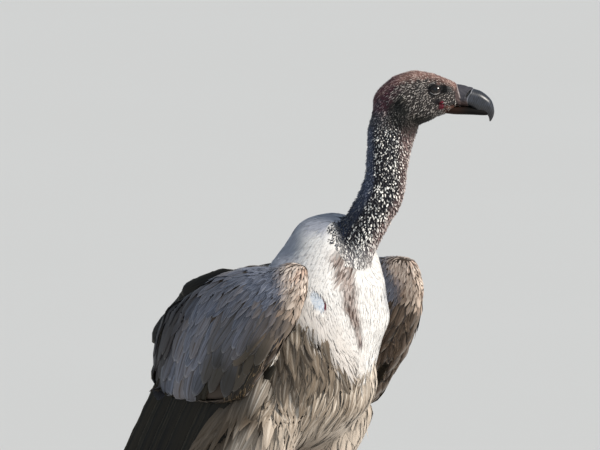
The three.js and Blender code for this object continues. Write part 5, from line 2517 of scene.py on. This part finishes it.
@dataclass
class Wing:
    """One loosely folded wing, worked out as the right one and carried over to its side."""

    side: str
    skin: Skin
    pivot: tuple[float, float, float] = (0.0, -100.0, 520.0)
    droop: float = math.radians(-6.5)  # of the left wing, about the crosswise axis through the pivot
    drop: float = -15.0
    outside: float = -190.0  # well outside the right wing
    beyond: float = -118.0  # where feathers hang past the wing's edges

    def __post_init__(self) -> None:
        """Brings the wing's stretch of skin into the right wing's place."""
        zone = Zone.RIGHT_WING if self.side == "right" else Zone.LEFT_WING
        guide = self.skin.guide(zone)
        tris = guide.tris if self.side == "right" else guide.tris[:, ::-1]
        places = guide.places if self.side == "right" else guide.places[:, ::-1]
        self.guide = Guide(self._from_body(guide.points), tris, places, guide.zones)
        self.seed = 100 if self.side == "right" else 200

    def _from_body(self, points: Array) -> Array:
        """Undoes the left wing's droop and mirrors it.

        Args:
            points: places on this wing.

        Returns:
            The same places on the right wing.
        """
        if self.side == "right":
            return points
        return self._mirrored(points - self.pivot - (0, 0, self.drop), -1) + self.pivot

    def _mirrored(self, arms: Array, way: int) -> Array:
        """Directions on the other wing, turned by the left wing's droop, or back by it if way is -1.

        Args:
            arms: directions, or distances from the pivot.
            way: 1 or -1.

        Returns:
            The turned ones.
        """
        c, s = math.cos(self.droop), way * math.sin(self.droop)
        x, y, z = arms.T
        return np.stack([-x, y * c - z * s, y * s + z * c], -1)

    def _to_body(self, shell: Shell) -> Shell:
        """Carries a shell over to this wing's side.

        Args:
            shell: feathers of the right wing.

        Returns:
            The same feathers on this side.
        """
        if self.side == "right":
            return shell
        points = self._mirrored(shell.points - self.pivot, 1) + (0, 0, self.drop) + self.pivot
        normals = None if shell.normals is None else self._mirrored(shell.normals, 1)
        return replace(shell, points=points, quads=shell.quads[:, ::-1], tris=shell.tris[:, ::-1],
                       normals=normals)

    def _place(self, name: str, shell: Shell, finish: FeatherFinish,
               stands_for: Sequence[str] = ()) -> None:
        """Makes a piece of this wing."""
        make_piece(f"{name}_{self.side}", self._to_body(shell), finish.material(), stands_for)

    def lie(self, points: Array) -> Array:
        """Back and down, steeper towards the tips of the greater coverts.

        Args:
            points: places in the bird's frame, in millimetres.

        Returns:
            The direction at each.
        """
        slope = np.radians(40 + 15 * ease(-points[:, 2], -545, -480) + 8 * ease(-points[:, 2], -480, -390))
        down, _ = self.down_wing(points)
        wrist = ease(-down, -70, 0)
        slope = lerp(slope, math.radians(76), wrist)
        return np.stack([-0.4 * wrist, np.cos(slope), -np.sin(slope)], -1)

    def down_wing(self, points: Array) -> tuple[Array, Array]:
        """How far points lie down the wing from the wrist, and towards its leading edge."""
        return along_wing(*from_wrist(points[:, 1], points[:, 2]))

    def on_wing(self, down: Array, fore: Array) -> Array:
        """Points of the wing's outer face by how far down it and towards its leading edge they lie.

        Args:
            down: how far down the wing they lie.
            fore: how far towards the leading edge places lie.

        Returns:
            The points.
        """
        y = WRIST_BACK + (down * WING_COSINE - fore * WING_SINE)
        z = WRIST_UP - (down * WING_SINE + fore * WING_COSINE)
        points = []
        for place in np.stack([np.full(len(y), self.outside), y, z], -1).tolist():
            hit = self.guide.tree.ray_cast(place, (1, 0, 0))[0]
            points.append(tuple(hit) if hit is not None else (self.beyond, place[1], place[2]))
        return np.array(points)

    def tip_line(self, fore: Array) -> Array:
        """How far down the wing the greater coverts end."""
        knots = np.array([(-150, 196), (-144, 240), (-125, 290), (-103, 303), (-89, 297), (-57, 270),
                          (-42, 254), (-13, 218), (13, 196), (40, 190)], float)
        return np.interp(fore, knots[:, 0], knots[:, 1])

    def edge_line(self, fore: Array) -> Array:
        """How far down the wing its fleshy edge reaches."""
        knots = np.array([(-138, 234), (-126, 263), (-114, 282), (-102, 291), (-78, 287), (-54, 271),
                          (-30, 258), (-6, 236), (18, 212), (30, 202), (40, 190)], float)
        return np.interp(fore, knots[:, 0], knots[:, 1])

    def build(self) -> None:
        """Builds the wing from the flight feathers outwards."""
        self._primaries()
        self._secondaries()
        self._tertials()
        self._greater()
        self._alula()
        self._median()
        self._lesser()
        self._under()

    def by_down(self, downs: Sequence[float], values: Sequence[float]) -> Field:
        """A size that is read from a table by how far down the wing a place lies."""
        return tabled(downs, values, lambda points: self.down_wing(points)[0])

    def _flight(self) -> FeatherFinish:
        """Blackish brown with a thin paler edge."""
        return FeatherFinish("flight feathers " + self.side, paint(44, 39, 28), paint(12, 10, 7),
                             paint(92, 84, 66), paint(8, 7, 6), edge_share=0.7, edge_width=0.1,
                             shaft_share=0.9, shaft_width=0.06, streaks=0.5, roughness=0.65, sheen=0.0)

    def _blade(self, rows: int) -> Vane:
        """The outline of a flight feather."""
        return Vane(rows=rows, columns=7, root=0.25, shoulder=0.12, taper=0.84, bluntness=2.2, roundness=2.0,
                    camber=0.12, thickness=1.0, ragged=0.05)

    def _primaries(self) -> None:
        """The long outer feathers, folded behind the wing."""
        count = 10
        share = np.linspace(0, 1, count)
        roots = np.stack([-116.0 + share * 6, lerp(-55, -20, share), lerp(412, 372, share)], -1)
        tips = np.stack([lerp(-52, -84, share), lerp(284, 178, share), lerp(84, 182, share)], -1)
        shell = blades(self._blade(24), roots, tips, np.array([-1, -0.2, 0.05]), lerp(32, 42, share), 0.02,
                       self.seed + 1, Patches(5, 2))
        self._place("primary_feathers", shell, self._flight(), ["primaries_" + self.side])

    def _secondaries(self) -> None:
        """The broad inner feathers that hang below the greater coverts."""
        count = 12
        share = np.linspace(0, 1, count) + 0.035 * np.sin(np.arange(count) * 2.6)
        slope = math.radians(60.5)
        length = lerp(222, 262, share)
        roots = np.stack([lerp(-122, -112, share), lerp(-24, 102, share), np.full(count, 430.0)], -1)
        tips = roots + length[:, None] * (0, math.cos(slope), -math.sin(slope))
        tips[:, 0] = lerp(-113, -82, share) + 1.5 * np.cos(np.arange(count) * 2.1)
        tips[:, 1:] += 8 * np.sin(np.arange(count) * 1.7)[:, None] * (math.cos(slope), -math.sin(slope))
        roots[:, 1] -= 18 * share**3
        width = 43 + 5 * np.cos(np.arange(count) * 1.3)
        shell = blades(self._blade(20), roots, tips, np.array([-1, -0.32, 0.1]), width, 0.012,
                       self.seed + 2, Patches(5, 3))
        self._place("secondary_feathers", shell, self._flight(),
                    ["secondaries_" + self.side])

    def _tertials(self) -> None:
        """Dark feathers over the wing's back edge."""
        ends = np.array([
            # root, tip
            (-112, 14, 527, -110, 100, 495), (-108, 34, 523, -108, 107, 482), (-104, 52, 512, -104, 109, 464),
            (-106, 76, 502, -103, 137, 440), (-103, 84, 494, -101, 154, 426), (-106, 84, 474, -103, 136, 396),
            (-104, 97, 444, -100, 156, 377), (-107, 98, 428, -98, 145, 352), (-109, 104, 412, -97, 150, 330)],
            float)
        width = np.array([24, 26, 30, 34, 32, 30, 26, 28, 28], float)
        vane = Vane(rows=14, columns=7, root=0.4, shoulder=0.2, taper=0.75, bluntness=2.2, roundness=2.0,
                    camber=0.15, thickness=0.9, ragged=0.08)
        shell = blades(vane, ends[:, :3], ends[:, 3:], np.array([-0.9, 0.25, 0.3]), width, 0.03,
                       self.seed + 3, Patches(3, 3))
        self._place("tertial_feathers", shell, replace(self._flight(), name="tertials " + self.side))

    def _covert_finish(self, name: str) -> FeatherFinish:
        """Grey-brown tinted blue as painted sky-lit shade, with a dark shaft and a thin pale edge."""
        # painted shade: the grey-brown ground and edge are tinted blue, as the shaded wing is lit by the sky
        return FeatherFinish(f"{name} {self.side}", paint(133, 138, 154), paint(68, 71, 81),
                             paint(176, 178, 186), paint(26, 25, 28), edge_share=0.7, edge_width=0.22,
                             shaft_share=0.85, shaft_width=0.13, streaks=0.6, root_shade=0.5,
                             roughness=0.6, marking=covert_marking)

    def _row(self, line: Field, above: float, count: int, length: float, width: float, lift: float,
             seed: int, jitter: float) -> Shell:
        """One row of coverts whose tips follow a line across the wing.

        Args:
            line: how far down the wing the line lies, by the place across it.
            above: how far above it the tips lie.
            count: how many coverts.
            length: their length.
            width: their width.
            lift: how far their tips stand off the skin.
            seed: seeds the random variation.
            jitter: how far the tips stray from the line.

        Returns:
            The coverts.
        """
        vane = Vane(rows=14, columns=7, root=0.4, shoulder=0.25, taper=0.62, bluntness=2.0, roundness=1.7,
                    camber=0.1, thickness=0.5, ragged=0.1)
        rng = np.random.default_rng(seed)
        fore = np.linspace(24, -142, count) + rng.uniform(-1, 1, count) * 40 / count
        tips = self.on_wing(line(fore) - above + rng.uniform(-1, 1, count) * jitter, fore)
        roots = tips - self.lie(tips) * length * 0.96
        growth = Growth(vane, length, width, self.lie, -1.0, lift, sway=0.05, uneven=0.1, stiffness=0.6,
                        roll=0.09, hang=0.05)
        return growth.grown(self.guide, roots, seed + 1, Patches(8, math.ceil(count / 8)))

    def _greater(self) -> None:
        """The long lowest row of coverts, the rows over it, and dark ones along the wing's lower edge."""
        shell = self._row(self.edge_line, -9, 19, 84, 24, 3.0, self.seed + 18, 4)
        self._place("outer_greater_coverts", shell, self._flight())
        rows = (  # name, how far above the lowest tips, count, length, width, lift, unevenness
            ("greater_coverts", -3, 16, 108, 25, 4.5, 8), ("second_greater_coverts", 30, 18, 88, 21, 5.0, 9),
            ("third_greater_coverts", 58, 21, 72, 17, 5.5, 10))
        for number, (name, above, count, length, width, lift, jitter) in enumerate(rows):
            shell = self._row(self.tip_line, above, count, length, width, lift,
                              self.seed + 10 + number * 2, jitter)
            self._place(name, shell, self._covert_finish(name.replace("_", " ")))

    def _alula(self) -> None:
        """Blackish feathers with golden edges along the lower leading edge."""
        vane = Vane(rows=12, columns=7, root=0.5, shoulder=0.2, taper=0.6, bluntness=2.0, roundness=1.5,
                    camber=0.12, thickness=0.5, ragged=0.1)
        rng = np.random.default_rng(self.seed + 50)
        count = 40
        down = np.linspace(82, 174, count) + rng.uniform(-4, 4, count)
        fore = rng.uniform(-2, 27, count)
        roots = self.on_wing(down, fore)
        length = graded(52.0, 74.0, 60, 100, lambda points: self.down_wing(points)[0])
        growth = Growth(vane, length, 10.0, self.lie, -0.5, 4.0, sway=0.06, uneven=0.2, stiffness=0.6)
        finish = replace(self._covert_finish("alula feathers"), light=paint(58, 50, 40),
                         dark=paint(24, 20, 16), edge=paint(190, 160, 122), edge_share=0.8,
                         edge_width=0.12, marking=None, sheen=0.0)
        self._place("alula_feathers", growth.grown(self.guide, roots, self.seed + 51, Patches(8, 5)), finish)
        if self.side == "right":
            self._fluff(rng)

    def _fluff(self, rng: np.random.Generator) -> None:
        """A wisp of white down that has come through at the right wing's leading edge.

        Args:
            rng: the source of its random places.
        """
        spot = self.on_wing(np.array([123.0]), np.array([30.0]))[0]
        fluff = Vane(rows=3, columns=3, root=0.8, shoulder=0.2, taper=0.3, camber=0.3, thickness=0.6,
                     belly=False)
        roots = spot + rng.normal(size=(34, 3)) * (0.5, 4.0, 5.5)
        growth = Growth(fluff, 11.0, 3.0, self.lie, 3.0, 8.0, sway=0.3)
        down_finish = FeatherFinish("wing fluff " + self.side, WHITE_DOWN, CREAM, WHITE_DOWN, WHITE_DOWN)
        self._place("wing_fluff", growth.grown(self.guide, roots, self.seed + 52), down_finish)

    def _median(self) -> None:
        """Middle coverts, scattered in loose rows."""
        vane = Vane(rows=9, columns=5, root=0.45, shoulder=0.3, taper=0.5, bluntness=1.8, roundness=1.4,
                    camber=0.08, thickness=0.3, ragged=0.14, softness=0.4)
        down, fore = self.down_wing(self.guide.middles)
        outer = self.guide.normals[self.guide.tris].mean(1)[:, 0] < 0.2
        keep = outer & (self.tip_line(fore) - down > 118) & (down > 58)
        roots = self.guide.scatter(self.by_down((60, 120, 180), (6.4, 8.4, 9.5)), keep, self.seed + 20)
        growth = Growth(vane, self.by_down((60, 120, 180), (26.0, 44.0, 58.0)),
                        self.by_down((60, 120, 180), (8.5, 11.5, 14.0)), self.lie,
                        -1.0, 3.8, sway=0.07, uneven=0.2, stiffness=0.4)
        self._place("median_coverts", growth.grown(self.guide, roots, self.seed + 21),
                    self._covert_finish("median coverts"))

    def _lesser(self) -> None:
        """Small scaly coverts on the wrist and longer narrow ones along the leading edge."""
        down, fore = self.down_wing(self.guide.middles)
        finish = replace(self._covert_finish("lesser coverts"), edge_share=0.6, edge_width=0.3,
                         root_shade=0.4, shaft_share=0.5, marking=wrist_marking)
        vane = Vane(rows=5, columns=5, root=0.5, shoulder=0.35, taper=0.5, bluntness=1.7, roundness=1.3,
                    camber=0.08, thickness=0.25, ragged=0.2, softness=0.6)
        keep = (down > 40) & ((down < 70) | ((fore > 8) & (down < 150)))
        roots = self.guide.scatter(self.by_down((40, 70, 120), (4.0, 4.8, 5.6)), keep, self.seed + 30)
        growth = Growth(vane, self.by_down((40, 70, 120, 150), (15.0, 24.0, 36.0, 40.0)),
                        self.by_down((40, 70, 120), (5.0, 6.6, 6.6)), self.lie, -0.6, 2.2,
                        sway=0.12, uneven=0.25)
        shells = [growth.grown(self.guide, roots, self.seed + 31)]
        roots = self.guide.scatter(self.by_down((0, 40), (1.9, 2.6)), down <= 44, self.seed + 33)
        growth = Growth(replace(vane, columns=3, rows=3, belly=False), self.by_down((0, 40), (9.0, 13.0)),
                        self.by_down((0, 40), (2.2, 3.4)), self.lie, -0.4, 1.3, sway=0.2, uneven=0.3)
        shells.append(growth.grown(self.guide, roots, self.seed + 34))
        self._place("lesser_coverts", joined(shells), finish)

    def _under(self) -> None:
        """Plain brown feathers on the wing's inner face."""
        vane = Vane(rows=5, columns=3, root=0.5, shoulder=0.3, taper=0.5, camber=0.25, thickness=0.5)
        down, _ = self.down_wing(self.guide.middles)
        inner = self.guide.normals[self.guide.tris].mean(1)[:, 0] >= 0.1
        roots = self.guide.scatter(8.0, inner & (down >= 55), self.seed + 40)
        growth = Growth(vane, 36.0, 12.0, self.lie, -0.6, 4.0, sway=0.12)
        finish = FeatherFinish("under wing " + self.side, paint(104, 88, 74), paint(46, 37, 31),
                               paint(148, 130, 110), paint(40, 33, 29))
        self._place("under_wing_feathers", growth.grown(self.guide, roots, self.seed + 41), finish)


def covert_marking(recipe: Recipe, colour: Wire) -> Wire:
    """Browner in patches and towards the leading edge, and blackish along the wing's back edge.

    Args:
        recipe: the material.
        colour: the colour under the marking.

    Returns:
        The marked colour.
    """
    _, depth, height = recipe.root().parts()
    tone = recipe.tone()
    ragged = recipe.ragged(0.04, 12.0)
    _, fore = along_wing(*from_wrist(depth, height))
    warm = recipe.noise(recipe.root(), 0.03) * tone + fore.step(-30.0, 20.0) * 0.5
    colour = recipe.mix(warm.smallest(1.0), colour, paint(106, 92, 78))
    deep = recipe.near((-148.0, -25.0, 468.0), (80.0, 24.0, 30.0)).step(1.3, 0.4)
    colour = recipe.mix(deep * 0.55, colour, paint(52, 48, 41))
    _, depth, height = recipe.place().parts()
    down_here, fore_here = (far + ragged * 0.6 for far in along_wing(*from_wrist(depth, height)))
    deep = (fore_here.step(-52.0, -18.0) * down_here.step(146.0, 186.0)).largest(
        fore_here.step(-10.0, 12.0) * down_here.step(92.0, 136.0))
    colour = recipe.mix(deep * 0.8, colour, recipe.mix(tone, paint(26, 23, 18), paint(60, 54, 44)))
    return recipe.mix((fore + ragged * 0.4).step(-88.0, -106.0) * 0.85, colour, paint(36, 30, 27))


def wrist_marking(recipe: Recipe, colour: Wire) -> Wire:
    """Tan and scaly on the wrist, dark with tan edges along the leading edge, and grey over the rest.

    Args:
        recipe: the material.
        colour: the colour under the marking.

    Returns:
        The marked colour.
    """
    _, depth, height = recipe.root().parts()
    across, along, _ = recipe.vane().parts()
    tone = recipe.tone()
    back, low = from_wrist(depth, height)
    ragged = recipe.ragged(0.04, 12.0)
    wrist = (back + low.largest(0.0) * 0.36 + ragged * 1.2).step(42.0, 22.0)
    wrist *= 1 - low.step(24.0, 64.0) * 0.5
    _, fore = along_wing(back, low)
    lead = (fore + ragged * 0.6).step(-4.0, 16.0)
    streaked = recipe.mix(tone.step(0.3, 0.7), paint(46, 37, 30), paint(118, 97, 76))
    edge = (abs(across - 0.5) * 2).step(0.5, 1.0)
    streaked = recipe.mix(edge * 0.7, streaked, paint(184, 156, 122))
    tan = recipe.mix(tone, paint(162, 141, 124), paint(234, 216, 200))
    tan = recipe.mix(recipe.noise(recipe.root(), 0.07).step(0.5, 0.7) * 0.5, tan, paint(210, 164, 134))
    tan = recipe.mix(tone.step(0.15, 0.0) * 0.7, tan, paint(84, 66, 54))
    # painted shade: darker towards the root, where each covert lies under the ones above
    tan = recipe.mix(along.step(0.6, 0.1) * 0.35, tan, paint(112, 92, 78))
    blotch = recipe.near((118.0, -113.0, 487.0), (10.0, 10.0, 17.0)) + ragged * 0.05
    tan = recipe.mix(blotch.step(1.2, 0.5) * 0.6, tan, paint(150, 62, 60))
    colour = recipe.mix(lead * 0.85, colour, streaked)
    return recipe.mix(wrist * 0.85, colour, tan)


@dataclass
class Tail:
    """The wedge of tail feathers, the middle ones on top."""

    count: int = 12
    slope: float = math.radians(58)
    root: tuple[float, float] = (142.0, 285.0)
    length: float = 262.0
    fan: float = math.radians(15)

    def build(self) -> None:
        """Builds the tail."""
        place = (np.arange(self.count) - (self.count - 1) / 2) / ((self.count - 1) / 2)
        outward = np.array([0, math.sin(self.slope), math.cos(self.slope)])
        down = np.array([0, math.cos(self.slope), -math.sin(self.slope)])
        start = np.array([0, *self.root])
        lift = 8 * (1 - np.abs(place))
        length = self.length - 16 * place**2
        roots = start + outward * (lift * 0.4)[:, None]
        roots[:, 0] = place * 16
        turn = place * self.fan
        tips = start + down * (length * np.cos(turn))[:, None] + outward * lift[:, None]
        tips[:, 0] = length * np.sin(turn)
        up = outward + np.stack([place * 0.35, 0 * place, 0 * place], -1)
        vane = Vane(rows=20, columns=7, root=0.3, shoulder=0.15, taper=0.86, bluntness=2.4, roundness=2.0,
                    camber=0.1, thickness=1.0, ragged=0.06)
        shell = blades(vane, roots, tips, up, np.full(self.count, 37.0), 0.01, 301, Patches(4, 3))
        finish = FeatherFinish("tail feathers", paint(60, 51, 45), paint(30, 26, 23), paint(96, 84, 72),
                               paint(26, 22, 20), edge_share=0.5, edge_width=0.06, shaft_share=0.7,
                               shaft_width=0.04, streaks=0.7, roughness=0.5)
        make_piece("tail_feathers", shell, finish.material(), ["tail"])


# ---------------------------------------------------------------- the studio


@dataclass
class Studio:
    """The floor, the lights and the camera."""

    azimuth: float = math.radians(-54)
    elevation: float = math.radians(6)
    distance: float = 10.0
    view_width: float = 0.78
    aim: tuple[float, float, float] = (5.35, -7.3, 580.4)

    def build(self) -> None:
        """Sets the studio up."""
        self._floor()
        self._lights()
        self._camera()

    def _back(self) -> Vector:
        """The direction from the bird to the camera."""
        a, e = self.azimuth, self.elevation
        return Vector((math.sin(a) * math.cos(e), -math.cos(a) * math.cos(e), math.sin(e)))

    def _floor(self) -> None:
        """A wide pale floor."""
        mesh = bpy.data.meshes.new("floor")
        reach = 60.0
        mesh.from_pydata([(-reach, -reach, 0), (reach, -reach, 0), (reach, reach, 0), (-reach, reach, 0)],
                         [], [(0, 1, 2, 3)])
        recipe = Recipe("studio floor")
        place = recipe.node("ShaderNodeTexCoord", {}, {}, "Object")
        mesh.materials.append(recipe.close(recipe.mix(recipe.noise(place, 0.7) * 0.5, paint(205, 204, 201),
                                                      paint(209, 208, 206)), 0.8))
        floor = link("floor", mesh)

    def _lights(self) -> None:
        """A warm key from the bird's front, a weak cool fill, and an even bluish surround."""
        self._lamp("key", (0.16, -0.85, 0.52), 4.5, 20, (1.0, 0.95, 0.88))
        self._lamp("fill", (-0.85, -0.35, 0.45), 0.3, 50, (0.72, 0.84, 1.0))
        world = bpy.data.worlds.new("studio")
        bpy.context.scene.world = world
        world.use_nodes = True
        sky = world.node_tree.nodes["Background"]
        sky.inputs["Color"].default_value = (0.72, 0.85, 1.0, 1.0)
        sky.inputs["Strength"].default_value = 0.4
        bpy.context.scene.view_settings.view_transform = "Standard"

    def _lamp(self, name: str, source: tuple[float, float, float], strength: float, softness: float,
              colour: tuple[float, float, float]) -> None:
        """A distant soft light.

        Args:
            name: its name.
            source: the direction it shines from.
            strength: how bright it is.
            softness: how wide it looks, in degrees.
            colour: its colour.
        """
        lamp = bpy.data.lights.new(name, "SUN")
        lamp.energy, lamp.color, lamp.angle = strength, colour, math.radians(softness)
        holder = link(name, lamp)
        holder.rotation_mode = "QUATERNION"
        holder.rotation_quaternion = Vector(source).to_track_quat("Z", "Y")

    def _camera(self) -> None:
        """A long lens, level with the bird's back."""
        lens = bpy.data.cameras.new("camera")
        lens.lens = lens.sensor_width * self.distance / self.view_width
        lens.clip_start, lens.clip_end = 0.1, 200.0
        camera = link("camera", lens)
        aim = Vector(to_scene(np.array(self.aim)).tolist())
        camera.location = aim + self._back() * self.distance
        camera.rotation_mode = "QUATERNION"
        camera.rotation_quaternion = (-self._back()).to_track_quat("-Z", "Y")
        bpy.context.scene.camera = camera


def main() -> None:
    """Builds the studio and the bird, and notes its size."""
    logging.basicConfig(level=logging.INFO, format="%(relativeCreated)d ms %(message)s")
    Studio().build()
    skin = Skin()
    skin.build()
    for side in SIDES:
        Eye(side).build()
    Bill().build()
    Claws().build()
    Coat(skin).build()
    for side in SIDES:
        Wing(side, skin).build()
    Tail().build()


if __name__ == "__main__":
    main()
